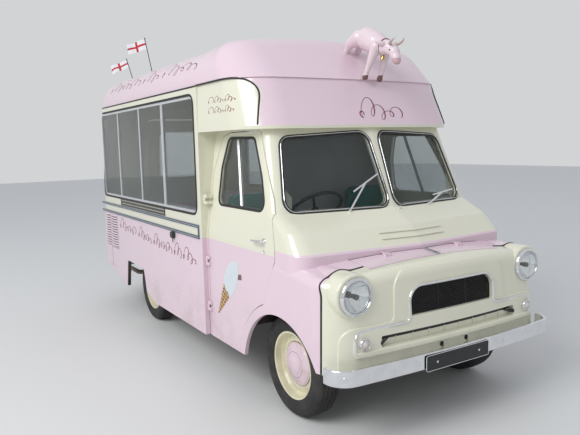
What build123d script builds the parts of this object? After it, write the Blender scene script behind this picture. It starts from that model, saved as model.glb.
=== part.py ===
from build123d import *
import os

os.makedirs("parts", exist_ok=True)

# An ice cream truck: a forward-control van with a coachbuilt serving body.
# Frame: +X forward, +Y to the vehicle's left, +Z up. The origin lies on the
# ground, midway along the length and on the centreline. Millimetres.

# overall sizes
overall_length = 4500
wheelbase = 2591
front_overhang = 700
body_half_width = 900
tyre_radius = 320
gutter_z = 2110
roof_top_z = 2422

# panel thicknesses and clearances
body_wall = 35
cab_wall = 35
wing_wall = 25
roof_wall = 30
panel_gap = 6
seat_gap = 0.3
running_clearance = 0.05

# places worked out from the overall sizes
front_axle_x = overall_length / 2 - front_overhang
rear_axle_x = front_axle_x - wheelbase
tail_x = -overall_length / 2
bumper_front_x = overall_length / 2
cab_rear_x = front_axle_x - 985
half_track = body_half_width - 214
cab_half_width = body_half_width - 38
wing_half_width = body_half_width - 34


def outline(plane, points, radius=0, grow=0):
    # a closed polygon on a plane, its corners rounded alike, then grown or shrunk
    with BuildSketch(plane, mode=Mode.PRIVATE) as face:
        with BuildLine():
            Polyline(*points, close=True)
        make_face()
        if radius:
            fillet(face.vertices(), radius)
        if grow:
            offset(amount=grow, kind=Kind.INTERSECTION)
    return face.sketch


def save(builder, name):
    builder.part.label = name
    export_step(builder.part, f"parts/{name}.step")


def mirrored_sides():
    # the two sides of the vehicle: name and sign of Y
    return (("right", -1), ("left", 1))


# Cab upper body: plan sections of the scuttle, screen and door pillars.
belt_z = 1040
screen_base_z = 1262
luton_bottom_z = 1800
cab_top_z = luton_bottom_z - 20
# columns: height, inset from the cab's half width, side corner and centre
# ahead of the front axle, corner radius
cab_sections = (
    (880, 0, 262, 350, 120),
    (belt_z, 0, 262, 350, 120),
    (1160, 17, 150, 250, 110),
    (screen_base_z, 32, -58, 82, 90),
    (cab_top_z, 107, -250, -142, 80),
)


def cab_volume(inset, rear_x=cab_rear_x):
    with BuildPart(mode=Mode.PRIVATE) as volume:
        for z, lean, corner, centre, radius in cab_sections:
            half = cab_half_width - lean - inset
            with BuildSketch(Plane.XY.offset(z)) as section:
                with BuildLine():
                    Polyline(
                        (rear_x, -half),
                        (front_axle_x + corner - inset, -half),
                        (front_axle_x + centre - inset, 0),
                        (front_axle_x + corner - inset, half),
                        (rear_x, half),
                        close=True,
                    )
                make_face()
                corners = section.vertices().sort_by(Axis.X)[2:4]
                fillet(corners, radius)
        loft(ruled=True)
    return volume.part


# Lower front: one mass for wings, nose and bonnet. It is bowed across its
# front and its top, and carries a round fairing behind each headlamp.
front_rear_x = front_axle_x - 494
skirt_z = 285
front_bottom_z = 430
# corner and centre of the front ahead of the axle at the skirt, and its rake
front_plan = (572, 628)
front_rake = 2.9
front_corner_radius = 190
front_crown_radius = 70
front_top = (50, 1052)
front_top_slope = 6.2
front_top_bow = 6000
headlamp_y = wing_half_width - 166
headlamp_z = 863
fairing_radius = 126
fairing_reach = (250, 574)


def bow(plane, radius, reach, depth):
    # the area under an arc that is level at its middle, on a plane across the vehicle
    drop = reach * reach / (2 * radius)
    with BuildSketch(plane, mode=Mode.PRIVATE) as face:
        with BuildLine():
            ThreePointArc((-reach, -drop), (0, 0), (reach, -drop))
            Polyline((reach, -drop), (reach, -depth), (-reach, -depth), (-reach, -drop))
        make_face()
    return face.sketch


def rim_edges(builder, rear_x):
    # the edges round the upper faces, without those on the rear face
    crown = [face for face in builder.faces() if face.normal_at(face.center()).Z > 0.7]
    edges = [edge for face in crown for edge in face.edges()]
    return [
        edge for edge in edges
        if edge.center().X > rear_x and sum((edge.center() - other.center()).length < 0.01 for other in edges) == 1
    ]


def lamp_fairing(inset, sign):
    with BuildPart(mode=Mode.PRIVATE) as fairing:
        with BuildSketch(Plane.YZ.offset(front_axle_x + fairing_reach[0])):
            with Locations((sign * headlamp_y, headlamp_z)):
                Circle(fairing_radius - inset)
        extrude(amount=fairing_reach[1] - fairing_reach[0] - inset)
        fillet(fairing.faces().sort_by(Axis.X)[-1].edges(), 14)
    return fairing.part


def front_volume(inset, rear_x=front_rear_x, fairings=True):
    with BuildPart(mode=Mode.PRIVATE) as volume:
        half = wing_half_width - inset
        corner_x, centre_x = [x - inset for x in front_plan]
        raked = Plane(origin=(front_axle_x, 0, skirt_z), x_dir=(1, 0, 0), z_dir=(0, 0, 1)).rotated(
            (0, -front_rake, 0)
        )
        with BuildSketch(raked) as section:
            back = rear_x - front_axle_x - 150
            with BuildLine():
                ThreePointArc((corner_x, -half), (centre_x, 0), (corner_x, half))
                Polyline((corner_x, half), (back, half), (back, -half), (corner_x, -half))
            make_face()
            fillet(section.vertices().sort_by(Axis.X)[2:4], front_corner_radius - inset)
        extrude(amount=1000)
        extrude(section.sketch, amount=-100)
        split(bisect_by=Plane.XY.offset(skirt_z), keep=Keep.TOP)
        split(bisect_by=Plane.YZ.offset(rear_x), keep=Keep.TOP)
        across = Plane(
            origin=(front_axle_x + front_top[0], 0, front_top[1] - inset), x_dir=(0, 1, 0), z_dir=(1, 0, 0)
        ).rotated((0, front_top_slope, 0))
        extrude(bow(across, front_top_bow, 1000, 1300), amount=1500, both=True, mode=Mode.INTERSECT)
        fillet(rim_edges(volume, rear_x + 1), front_crown_radius - inset)
        if fairings:
            for side, sign in mirrored_sides():
                add(lamp_fairing(inset, sign))
    return volume.part


# Body box: plan sections at the skirt and at the gutter.
# columns: height, rear face ahead of the tail, rear corner radius
body_sections = ((skirt_z, 0, 110), (gutter_z, 120, 180))


def body_volume(inset, front_x=cab_rear_x):
    with BuildPart(mode=Mode.PRIVATE) as volume:
        half = body_half_width - inset
        for z, lean, radius in body_sections:
            rear_x = tail_x + lean
            with BuildSketch(Plane.XY.offset(z)) as section:
                with BuildLine():
                    Polyline(
                        (front_x, -half),
                        (front_x, half),
                        (rear_x + inset, half),
                        (rear_x + inset, -half),
                        close=True,
                    )
                make_face()
                corners = section.vertices().sort_by(Axis.X)[0:2]
                fillet(corners, radius - inset)
        loft(ruled=True)
    return volume.part


# Roof and the raised front over the cab.
roof_bow = 6500
roof_edge_radius = 243
roof_section_z = roof_top_z + 48
# columns: height, rear x, half width at the rear and at the front, corner and
# centre ahead of the front axle, corner radius in front and behind
luton_sections = (
    (luton_bottom_z, cab_rear_x, body_half_width - 3, body_half_width - 3, -214, -118, 311, 0),
    (gutter_z, cab_rear_x, body_half_width - 12, body_half_width - 12, -334, -273, 311, 0),
)
roof_sections = (
    (gutter_z, tail_x + 120, body_half_width - 12, body_half_width - 12, -334, -273, 311, 180),
    (roof_section_z, tail_x + 165, body_half_width - 20, body_half_width - 31, -721, -623, 286, 270),
)


def roof_volume(sections, inset, extra_rear=0):
    with BuildPart(mode=Mode.PRIVATE) as volume:
        for z, rear_x, rear_half, half, corner, centre, radius, rear_radius in sections:
            corner_x = front_axle_x + corner - inset
            with BuildSketch(Plane.XY.offset(z)) as section:
                with BuildLine():
                    ThreePointArc(
                        (corner_x, inset - half), (front_axle_x + centre - inset, 0), (corner_x, half - inset)
                    )
                    Polyline(
                        (corner_x, half - inset),
                        (rear_x - extra_rear, rear_half - inset),
                        (rear_x - extra_rear, inset - rear_half),
                        (corner_x, inset - half),
                    )
                make_face()
                fillet(section.vertices().sort_by(Axis.X)[2:4], radius - inset)
                if rear_radius:
                    fillet(section.vertices().sort_by(Axis.X)[0:2], rear_radius - inset)
        loft(ruled=True)
    return volume.part


def crowned_roof(inset):
    # the roof above the gutter, bowed across, its top edge rounded all the way round
    with BuildPart(mode=Mode.PRIVATE) as volume:
        add(roof_volume(roof_sections, inset))
        across = Plane(origin=(0, 0, roof_top_z - inset), x_dir=(0, 1, 0), z_dir=(1, 0, 0))
        extrude(bow(across, roof_bow, 1.5 * body_half_width, 900), amount=overall_length, both=True, mode=Mode.INTERSECT)
        fillet(rim_edges(volume, tail_x), roof_edge_radius - inset)
    return volume.part


# Shared skins that the panels are cut from.
cab_outer = cab_volume(0)
cab_inner = cab_volume(cab_wall, cab_rear_x - 50)
front_outer = front_volume(0)
front_inner = front_volume(wing_wall, front_rear_x - 50)
body_outer = body_volume(0)
body_inner = body_volume(body_wall, cab_rear_x + 50)

# Doors of the cab, seen from the side.
door_rear_x = cab_rear_x + 27
door_bottom_z = 282
arch_centre = (front_axle_x + 28, tyre_radius - 125)
arch_radius = 462
arch_flange = 68
# columns: ahead of the front axle, height
door_edge = (
    (-502, door_bottom_z),
    (-958, door_bottom_z),
    (-958, 1490),
    (-850, 1742),
    (-740, 1768),
    (-310, 1768),
    (-104, 1346),
    (2, 1050),
    (2, 990),
    (-162, 685),
    (-502, 685),
)
window_edge = ((-828, 1275), (-822, 1530), (-755, 1728), (-385, 1722), (-240, 1475), (-162, 1275))
window_radius = 46


def door_outline(grow):
    # grow moves every edge outwards by this much
    with BuildSketch(Plane.XZ, mode=Mode.PRIVATE) as face:
        with BuildLine():
            Polyline(*[(front_axle_x + x, z) for x, z in door_edge], close=True)
        make_face()
        bends = [v for v in face.vertices() if v.Y > 1600]
        fillet(bends, 45)
        with Locations((front_axle_x - 330, (door_bottom_z + 685) / 2)):
            Rectangle(344, 685 - door_bottom_z)
        with Locations(arch_centre):
            Circle(arch_radius + arch_flange, mode=Mode.SUBTRACT)
        if grow:
            offset(amount=grow, kind=Kind.INTERSECTION)
    return face.sketch


door_prism_depth = 2 * body_half_width
window_points = [(front_axle_x + x, z) for x, z in window_edge]


# Cab doors
with BuildPart() as door_skin:
    add(cab_outer)
    with BuildSketch(Plane.XY.offset(door_bottom_z)):
        with Locations((cab_rear_x + 600, 0)):
            Rectangle(1200, 2 * cab_half_width)
    extrude(amount=belt_z - door_bottom_z)
    add(cab_inner, mode=Mode.SUBTRACT)
    with BuildSketch(Plane.XY.offset(door_bottom_z)):
        with Locations((cab_rear_x + 600, 0)):
            Rectangle(1300, 2 * (cab_half_width - cab_wall))
    extrude(amount=belt_z - door_bottom_z, mode=Mode.SUBTRACT)

hinge_x = cab_rear_x + 15
hinge_y = cab_half_width + 12
hinge_heights = (510, 850, 1300)
hinge_length = 70
hinge_leaf_x = hinge_x + 46
hinge_pin_radius = 5
hinge_barrel_radius = 9
hinge_knuckle = hinge_length / 3

for side, sign in mirrored_sides():
    with BuildPart() as door:
        add(door_skin.part)
        extrude(door_outline(0), amount=door_prism_depth * -sign, mode=Mode.INTERSECT)
        extrude(
            outline(Plane.XZ, window_points, window_radius),
            amount=door_prism_depth * -sign,
            mode=Mode.SUBTRACT,
        )
        for z in hinge_heights:
            skin_y = cab_half_width if z < belt_z else cab_half_width - 38
            for shift in (-hinge_knuckle, hinge_knuckle):
                base = z + shift - hinge_knuckle / 2 + seat_gap
                with BuildSketch(Plane.XY.offset(base)):
                    with Locations((hinge_x, sign * hinge_y)):
                        Circle(hinge_barrel_radius)
                    with Locations(((hinge_x + hinge_leaf_x) / 2, sign * (hinge_y + 1))):
                        Rectangle(hinge_leaf_x - hinge_x, 8)
                    with Locations((hinge_leaf_x - 12, sign * (hinge_y + skin_y - 2) / 2)):
                        Rectangle(24, hinge_y - skin_y + 10)
                    with Locations((hinge_x, sign * hinge_y)):
                        Circle(hinge_pin_radius + running_clearance, mode=Mode.SUBTRACT)
                extrude(amount=hinge_knuckle - 2 * seat_gap)
    save(door, f"cab_door_{side}")

    with BuildPart() as glass:
        add(cab_volume(14))
        add(cab_volume(19, cab_rear_x - 50), mode=Mode.SUBTRACT)
        extrude(
            outline(Plane.XZ, window_points, window_radius, -seat_gap),
            amount=door_prism_depth * -sign,
            mode=Mode.INTERSECT,
        )
    save(glass, f"door_glass_{side}")

bonnet_half_width = cab_half_width - 332
bonnet_hinge = (front_axle_x + 356, 1022)
bonnet_hinge_places = (-300, 300)
bonnet_knuckle = 15
bonnet_barrel_radius = 6
bonnet_pin_radius = 3

# Cab shell: scuttle, screen pillars, header and the flange under the raised front.
screen_points = ((117 - cab_half_width, 1268), (-29, 1270), (-52, 1747), (194 - cab_half_width, 1716))
screen_radius = 62
# two raised vent ribs below the screen
vent_heights = (1100, 1134)
vent_length = 515
vent_height = 9
with BuildPart() as vent_ribs:
    add(cab_volume(-vent_height))
    add(cab_volume(5), mode=Mode.SUBTRACT)
    with BuildSketch(Plane.YZ.offset(front_axle_x)):
        for z in vent_heights:
            with Locations((-8, z)):
                SlotOverall(vent_length, vent_height + 2)
    extrude(amount=600, mode=Mode.INTERSECT)

with BuildPart() as cab_shell:
    add(cab_outer)
    add(cab_inner, mode=Mode.SUBTRACT)
    add(front_outer, mode=Mode.SUBTRACT)
    for side, sign in mirrored_sides():
        with BuildSketch(Plane.XY.offset(skirt_z)):
            with Locations(((cab_rear_x + door_rear_x - panel_gap) / 2, sign * (cab_half_width - cab_wall / 2))):
                Rectangle(door_rear_x - panel_gap - cab_rear_x, cab_wall)
        extrude(amount=belt_z + 20 - skirt_z)
    with BuildSketch(Plane.XY.offset(cab_top_z)) as flange:
        with BuildLine():
            z, rear_x, rear_half, half, corner, centre, radius, rear_radius = luton_sections[0]
            corner_x = front_axle_x + corner
            ThreePointArc((corner_x, -half), (front_axle_x + centre, 0), (corner_x, half))
            Polyline((corner_x, half), (rear_x, half), (rear_x, -half), (corner_x, -half))
        make_face()
        fillet(flange.vertices().sort_by(Axis.X)[2:4], radius)
        inner_half = cab_half_width - 162
        with BuildLine():
            Polyline(
                (cab_rear_x, -inner_half), (front_axle_x - 310, -inner_half), (front_axle_x - 210, 0),
                (front_axle_x - 310, inner_half), (cab_rear_x, inner_half),
                close=True,
            )
        make_face(mode=Mode.SUBTRACT)
    extrude(amount=luton_bottom_z - cab_top_z)
    extrude(door_outline(panel_gap), amount=door_prism_depth, both=True, mode=Mode.SUBTRACT)
    for side, sign in mirrored_sides():
        pane = [(sign * -y, z) for y, z in screen_points]
        with BuildSketch(Plane.YZ.offset(cab_rear_x + 400)) as opening:
            with BuildLine():
                Polyline(*pane, close=True)
            make_face()
            fillet(opening.vertices(), screen_radius)
        extrude(amount=1000, mode=Mode.SUBTRACT)
    add(vent_ribs.part)
    # middle knuckles and pins of the bonnet hinges
    for y in bonnet_hinge_places:
        with BuildSketch(Plane.XZ.offset(-y - bonnet_knuckle / 2 + seat_gap)):
            with Locations(bonnet_hinge):
                Circle(bonnet_barrel_radius)
            with Locations((bonnet_hinge[0] - 26, bonnet_hinge[1] + 2)):
                Rectangle(52, 6)
            with Locations(bonnet_hinge):
                Circle(bonnet_pin_radius, mode=Mode.SUBTRACT)
        extrude(amount=bonnet_knuckle - 2 * seat_gap)
        with BuildSketch(Plane.XZ.offset(-y - 1.5 * bonnet_knuckle)):
            with Locations(bonnet_hinge):
                Circle(bonnet_pin_radius)
        extrude(amount=3 * bonnet_knuckle)
save(cab_shell, "cab_shell")

with BuildPart() as windscreen_glass:
    add(cab_volume(12))
    add(cab_volume(18, cab_rear_x - 50), mode=Mode.SUBTRACT)
    with BuildSketch(Plane.YZ.offset(cab_rear_x + 400)) as panes:
        for side, sign in mirrored_sides():
            with BuildLine():
                Polyline(*[(sign * -y, z) for y, z in screen_points], close=True)
            make_face()
        fillet(panes.vertices(), screen_radius)
        offset(amount=-seat_gap)
    extrude(amount=1000, mode=Mode.INTERSECT)
save(windscreen_glass, "windscreen_glass")

# Bonnet lid: the middle of the front mass's top, hinged along its rear edge.
bonnet_reach = 140
with BuildPart() as bonnet:
    add(front_outer)
    add(front_inner, mode=Mode.SUBTRACT)
    with BuildSketch(Plane.XZ.offset(-bonnet_half_width)):
        with Locations(bonnet_hinge):
            Circle(bonnet_reach)
        with Locations((bonnet_hinge[0] - 100, bonnet_hinge[1] - 100)):
            Rectangle(200, 300)
    extrude(amount=2 * bonnet_half_width, mode=Mode.INTERSECT)
    with BuildSketch(Plane.XY.offset(900)):
        with Locations((bonnet_hinge[0], 0)):
            Rectangle(400, 2 * bonnet_half_width)
    extrude(amount=300, mode=Mode.INTERSECT)
    add(cab_volume(-panel_gap), mode=Mode.SUBTRACT)
    for y in bonnet_hinge_places:
        for shift in (-bonnet_knuckle, bonnet_knuckle):
            with BuildSketch(Plane.XZ.offset(-y - shift - bonnet_knuckle / 2 + seat_gap)):
                with Locations(bonnet_hinge):
                    Circle(bonnet_barrel_radius)
                with Locations((bonnet_hinge[0] + 14, bonnet_hinge[1] - 9)):
                    Rectangle(28, 20)
                with Locations(bonnet_hinge):
                    Circle(bonnet_pin_radius + running_clearance, mode=Mode.SUBTRACT)
            extrude(amount=bonnet_knuckle - 2 * seat_gap)
save(bonnet, "bonnet")

# The bead between the wings and the nose panel, seen from the side.
# columns: ahead of the front axle, height
bead_line = ((442, 1100), (442, 990), (462, 950), (462, 300), (750, 300), (750, 1100))

with BuildPart() as front_skin:
    add(front_outer)
    add(front_inner, mode=Mode.SUBTRACT)
    with BuildSketch(Plane.XZ):
        with Locations(arch_centre):
            Circle(arch_radius)
        with Locations((front_axle_x + 750, front_bottom_z / 2)):
            Rectangle(700, front_bottom_z)
    extrude(amount=door_prism_depth, both=True, mode=Mode.SUBTRACT)
    with BuildSketch(Plane.XZ.offset(-bonnet_half_width - panel_gap)):
        with Locations(bonnet_hinge):
            Circle(bonnet_reach + panel_gap)
        with Locations((bonnet_hinge[0] - 150, bonnet_hinge[1] - 100)):
            Rectangle(300, 300)
    extrude(amount=2 * (bonnet_half_width + panel_gap), mode=Mode.SUBTRACT)
    extrude(door_outline(panel_gap), amount=door_prism_depth, both=True, mode=Mode.SUBTRACT)
    add(cab_volume(wing_wall), mode=Mode.SUBTRACT)

with BuildPart() as front_wings:
    add(front_skin.part)
    with BuildSketch(Plane.XZ):
        with BuildLine():
            Polyline(*[(front_axle_x + x, z) for x, z in bead_line], close=True)
        make_face()
    extrude(amount=door_prism_depth, both=True, mode=Mode.SUBTRACT)
save(front_wings, "front_wings")

# Nose: two raised forms, one on the other, a rolled bar along their foot, and
# an air slot over the bar with a ribbed ledge behind it.
headlamp_radius = 107
marker_y = wing_half_width - 198
marker_z = 605
marker_radius = 32
# columns: y of the left half, height, corner radius
hat_edge = ((wing_half_width - 60, 380, 0), (wing_half_width - 74, 690, 90), (455, 694, 30), (440, 975, 110))
crest_edge = ((wing_half_width - 138, 520, 30), (wing_half_width - 146, 660, 48), (354, 682, 26), (350, 880, 96))
grille_edge = ((333, 706, 8), (337, 866, 84))
slot_edge = ((548, 563, 10), (548, 626, 10))
bar_edge = ((wing_half_width - 147, 527, 16), (wing_half_width - 147, 561, 16))
hat_height = 9
crest_height = 15
bar_height = 25
ledge_inset = 17
ledge_rib_pitch = 122
valance_holes_y = 101


def nose_face(edge, grow=0):
    # a face across the nose, alike on both sides, each corner with its radius
    corners = list(edge) + [(-y, z, radius) for y, z, radius in reversed(edge)]
    with BuildSketch(Plane.YZ.offset(front_axle_x + 350), mode=Mode.PRIVATE) as face:
        with BuildLine():
            Polyline(*[(y, z) for y, z, radius in corners], close=True)
        make_face()
        for y, z, radius in corners:
            if radius:
                fillet(face.vertices().sort_by_distance((y, z, 0))[0], radius)
        if grow:
            offset(amount=grow, kind=Kind.INTERSECTION)
    return face.sketch


def nose_layer(height, edge, softness):
    # a raised form that follows the nose, its edge rounded
    with BuildPart(mode=Mode.PRIVATE) as layer:
        add(front_volume(-height, fairings=False))
        extrude(nose_face(edge), amount=500, mode=Mode.INTERSECT)
        fronts = [face for face in layer.faces() if face.normal_at(face.center()).X > 0.5]
        edges = [rim for face in fronts for rim in face.edges()]
        fillet(
            [
                rim for rim in edges
                if rim.center().Z > front_bottom_z
                and sum((rim.center() - other.center()).length < 0.01 for other in edges) == 1
            ],
            softness,
        )
        add(below_skin, mode=Mode.SUBTRACT)
    return layer.part


below_skin = front_volume(5, fairings=False)
below_grille = front_volume(ledge_inset - 5, fairings=False)
below_ledge = front_volume(ledge_inset + 8, fairings=False)
with BuildPart() as ledge:
    add(front_volume(ledge_inset, fairings=False))
    add(below_ledge, mode=Mode.SUBTRACT)
    with BuildSketch(Plane.YZ.offset(front_axle_x + 350)):
        with Locations((0, 580)):
            Rectangle(1112, 52)
    extrude(amount=500, mode=Mode.INTERSECT)

with BuildPart() as ledge_ribs:
    add(below_grille)
    add(below_ledge, mode=Mode.SUBTRACT)
    with BuildSketch(Plane.YZ.offset(front_axle_x + 350)):
        with Locations((0, 582)):
            with GridLocations(ledge_rib_pitch, 0, 8, 1):
                Rectangle(7, 40)
    extrude(amount=500, mode=Mode.INTERSECT)

with BuildPart() as nose_panel:
    add(front_skin.part)
    add(nose_layer(hat_height, hat_edge, 7))
    add(nose_layer(crest_height, crest_edge, 5))
    with BuildSketch(Plane.XY):
        with Locations((front_axle_x + 500, 0)):
            Rectangle(1200, 3 * body_half_width)
    extrude(amount=front_bottom_z, mode=Mode.SUBTRACT)
    with BuildSketch(Plane.XZ):
        with BuildLine():
            Polyline(*[(front_axle_x + x + seat_gap, z) for x, z in bead_line], close=True)
        make_face()
    extrude(amount=door_prism_depth, both=True, mode=Mode.INTERSECT)
    extrude(nose_face(slot_edge), amount=500, mode=Mode.SUBTRACT)
    add(ledge.part)
    add(ledge_ribs.part)
    add(nose_layer(bar_height, bar_edge, 9))
    extrude(nose_face(grille_edge), amount=500, mode=Mode.SUBTRACT)
    with BuildSketch(Plane.YZ.offset(front_axle_x + 350)):
        for side, sign in mirrored_sides():
            with Locations((sign * headlamp_y, headlamp_z)):
                Circle(headlamp_radius + seat_gap)
            with Locations((sign * marker_y, marker_z)):
                Circle(marker_radius + seat_gap)
            with Locations((sign * valance_holes_y, 490)):
                SlotOverall(26, 16, rotation=90)
    extrude(amount=500, mode=Mode.SUBTRACT)
save(nose_panel, "nose_panel")

# Grille: a curved sheet cut into fine level louvres, with a rim and two posts.
louvre_pitch = 11
louvre_count = 13
with BuildPart() as louvre_gaps:
    extrude(nose_face(grille_edge, -9), amount=500)
    with BuildSketch(Plane.YZ.offset(front_axle_x + 350)):
        with Locations((0, 785)):
            with GridLocations(226, louvre_pitch, 3, louvre_count):
                Rectangle(220, louvre_pitch / 2)
    extrude(amount=500, mode=Mode.INTERSECT)

with BuildPart() as grille:
    add(below_skin)
    add(below_grille, mode=Mode.SUBTRACT)
    extrude(nose_face(grille_edge, -seat_gap), amount=500, mode=Mode.INTERSECT)
    add(louvre_gaps.part, mode=Mode.SUBTRACT)
save(grille, "grille")

# Headlamps: a can, a rounded rim and a domed lens.
headlamp_face_x = front_axle_x + 598
headlamp_back_x = front_axle_x + 490
with BuildPart() as headlamps:
    for side, sign in mirrored_sides():
        foot = (0, sign * headlamp_y, headlamp_z)
        with BuildSketch(Plane(origin=foot, x_dir=(1, 0, 0), z_dir=(0, -1, 0))):
            with BuildLine():
                face, radius = headlamp_face_x, headlamp_radius
                Polyline((face - 7, radius - 19), (face, radius - 13))
                ThreePointArc((face, radius - 13), (face - 4, radius - 4), (face - 14, radius))
                Polyline(
                    (face - 14, radius), (headlamp_back_x, radius), (headlamp_back_x, 0), (face + 10, 0)
                )
                ThreePointArc((face + 10, 0), (face + 5.9, (radius - 19) / 2), (face - 7, radius - 19))
            make_face()
        revolve(axis=Axis(foot, (1, 0, 0)))
save(headlamps, "headlamps")

# Bumper: a wrapped bar in front of the nose.
bumper_z = 455
bumper_height = 92
bumper_depth = 22
bumper_half_width = body_half_width - 12
bumper_end_x = bumper_front_x - 170
bumper_corner_x = bumper_front_x - 40
rail_y = half_track - 331
rail_width = 50
rail_bottom_z = tyre_radius + 80
rail_top_z = rail_bottom_z + 100
rail_rear_x = tail_x + 120
rail_front_x = front_axle_x + 490
bracket_bottom_z = 410
bracket_front_x = bumper_front_x - 20
bumper_corner_radius = 130
with BuildPart() as front_bumper:
    with BuildSketch(Plane.XY.offset(bumper_z - bumper_height / 2)):
        for inset, mode in ((0, Mode.ADD), (bumper_depth, Mode.SUBTRACT)):
            half = bumper_half_width - inset
            with BuildSketch(mode=mode) as bar:
                with BuildLine():
                    corner_x = bumper_corner_x - inset
                    end_x = bumper_end_x - inset
                    ThreePointArc((corner_x, -half), (bumper_front_x - inset, 0), (corner_x, half))
                    Polyline((corner_x, half), (end_x, half), (end_x, -half), (corner_x, -half))
                make_face()
                corners = bar.vertices().sort_by(Axis.X)[2:4]
                fillet(corners, bumper_corner_radius - inset)
    extrude(amount=bumper_height)
    faces = front_bumper.faces().filter_by(Axis.Z)
    rims = [edge for face in faces for edge in face.edges() if edge.center().X > bumper_end_x]
    fillet(rims, 8)
    # flat irons back to the ends of the chassis rails, under the nose
    with BuildSketch(Plane.XY.offset(bracket_bottom_z)):
        with Locations(((rail_front_x + bracket_front_x) / 2, 0)):
            with GridLocations(0, 2 * rail_y, 1, 2):
                Rectangle(bracket_front_x - rail_front_x, 40)
    extrude(amount=front_bottom_z - 2 - bracket_bottom_z)
save(front_bumper, "front_bumper")

# Body sides, with the cream panel beside the raised front.
window_rear_x = tail_x + 180
window_front_x = cab_rear_x - 75
window_bottom_z = 1185
window_top_z = gutter_z - 60
# columns: ahead of the rear axle, height
rear_arch_edge = ((-371, 100), (-371, skirt_z), (-309, 560), (191, 552), (251, 355), (481, skirt_z), (481, 100))
rear_arch_points = [(rear_axle_x + x, z) for x, z in rear_arch_edge]
tail_rise = (
    (rear_arch_points[0][0], skirt_z), (tail_x - 50, 440), (tail_x - 50, 0), (rear_arch_points[0][0], 0)
)
side_window = (
    (window_rear_x, window_bottom_z),
    (window_front_x, window_bottom_z),
    (window_front_x, window_top_z),
    (window_rear_x, window_top_z),
)
side_split_y = body_half_width - 140
cream_corner = (front_axle_x - 325, gutter_z)
cream_panel = (
    (cab_rear_x, luton_bottom_z), (front_axle_x - 250, luton_bottom_z), cream_corner, (cab_rear_x, gutter_z)
)
cream_corner_radius = 170

# the return panel from each side in to the cab's narrower back: y, height
return_thickness = 20
return_foot_z = rail_top_z + 30
return_edge = (
    (body_half_width - 30, return_foot_z),
    (body_half_width - 30, luton_bottom_z),
    (cab_half_width - 157, luton_bottom_z),
    (cab_half_width - 147, cab_top_z),
    (cab_half_width - 72, screen_base_z),
    (cab_half_width - 40, belt_z),
    (cab_half_width - 40, return_foot_z),
)

luton_outer = roof_volume(luton_sections, 0)
luton_inner = roof_volume(luton_sections, roof_wall, 50)

for side, sign in mirrored_sides():
    with BuildPart() as body_side:
        add(body_outer)
        add(body_inner, mode=Mode.SUBTRACT)
        with BuildSketch(Plane.XY):
            with Locations(((tail_x + cab_rear_x) / 2, sign * (side_split_y + 100))):
                Rectangle(cab_rear_x - tail_x + 200, 200)
        extrude(amount=gutter_z, mode=Mode.INTERSECT)
        reach = door_prism_depth * -sign
        extrude(outline(Plane.XZ, rear_arch_points, 40), amount=reach, mode=Mode.SUBTRACT)
        extrude(outline(Plane.XZ, tail_rise), amount=reach, mode=Mode.SUBTRACT)
        extrude(outline(Plane.XZ, side_window, 60), amount=reach, mode=Mode.SUBTRACT)
        with BuildSketch(Plane.YZ.offset(cab_rear_x - return_thickness)):
            with BuildLine():
                Polyline(*[(sign * y, z) for y, z in return_edge], close=True)
            make_face()
        extrude(amount=return_thickness)
        for z in hinge_heights:
            with BuildSketch(Plane.XY.offset(z - hinge_knuckle / 2 + seat_gap)):
                with Locations((hinge_x, sign * hinge_y)):
                    Circle(hinge_barrel_radius)
                with Locations(((hinge_x + cab_rear_x - 10) / 2, sign * hinge_y)):
                    Rectangle(hinge_x - cab_rear_x + 10, 8)
                with Locations((hinge_x, sign * hinge_y)):
                    Circle(hinge_pin_radius, mode=Mode.SUBTRACT)
            extrude(amount=hinge_knuckle - 2 * seat_gap)
            with BuildSketch(Plane.XY.offset(z - hinge_length / 2)):
                with Locations((hinge_x, sign * hinge_y)):
                    Circle(hinge_pin_radius)
            extrude(amount=hinge_length)
    save(body_side, f"body_side_{side}")

with BuildPart() as cream_prism:
    with BuildSketch(Plane.XZ) as face:
        with BuildLine():
            Polyline(*cream_panel, close=True)
        make_face()
        fillet(face.vertices().sort_by_distance(cream_corner)[0], cream_corner_radius)
    extrude(amount=door_prism_depth, both=True)

with BuildPart() as luton_panels:
    add(luton_outer)
    add(luton_inner, mode=Mode.SUBTRACT)
    add(cream_prism.part, mode=Mode.INTERSECT)
save(luton_panels, "luton_panels")

# Roof: the shell over everything, with the front fascia of the raised part.
# Over the cab it stands a little prouder, with a step at the seam.
dome_step = 9
with BuildPart() as front_dome:
    add(crowned_roof(-dome_step))
    with BuildSketch(Plane.XY.offset(gutter_z)):
        with Locations((cab_rear_x + 750, 0)):
            Rectangle(1500, 3 * body_half_width)
    extrude(amount=500, mode=Mode.INTERSECT)

with BuildPart() as roof:
    add(crowned_roof(0))
    add(front_dome.part)
    add(luton_outer)
    add(crowned_roof(roof_wall), mode=Mode.SUBTRACT)
    add(luton_inner, mode=Mode.SUBTRACT)
    with BuildSketch(Plane.XY.offset(luton_bottom_z)):
        with Locations((cab_rear_x, 0)):
            Rectangle(40, 3 * body_half_width)
    extrude(amount=gutter_z - luton_bottom_z, mode=Mode.SUBTRACT)
    add(cream_prism.part, mode=Mode.SUBTRACT)
save(roof, "roof")

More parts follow.
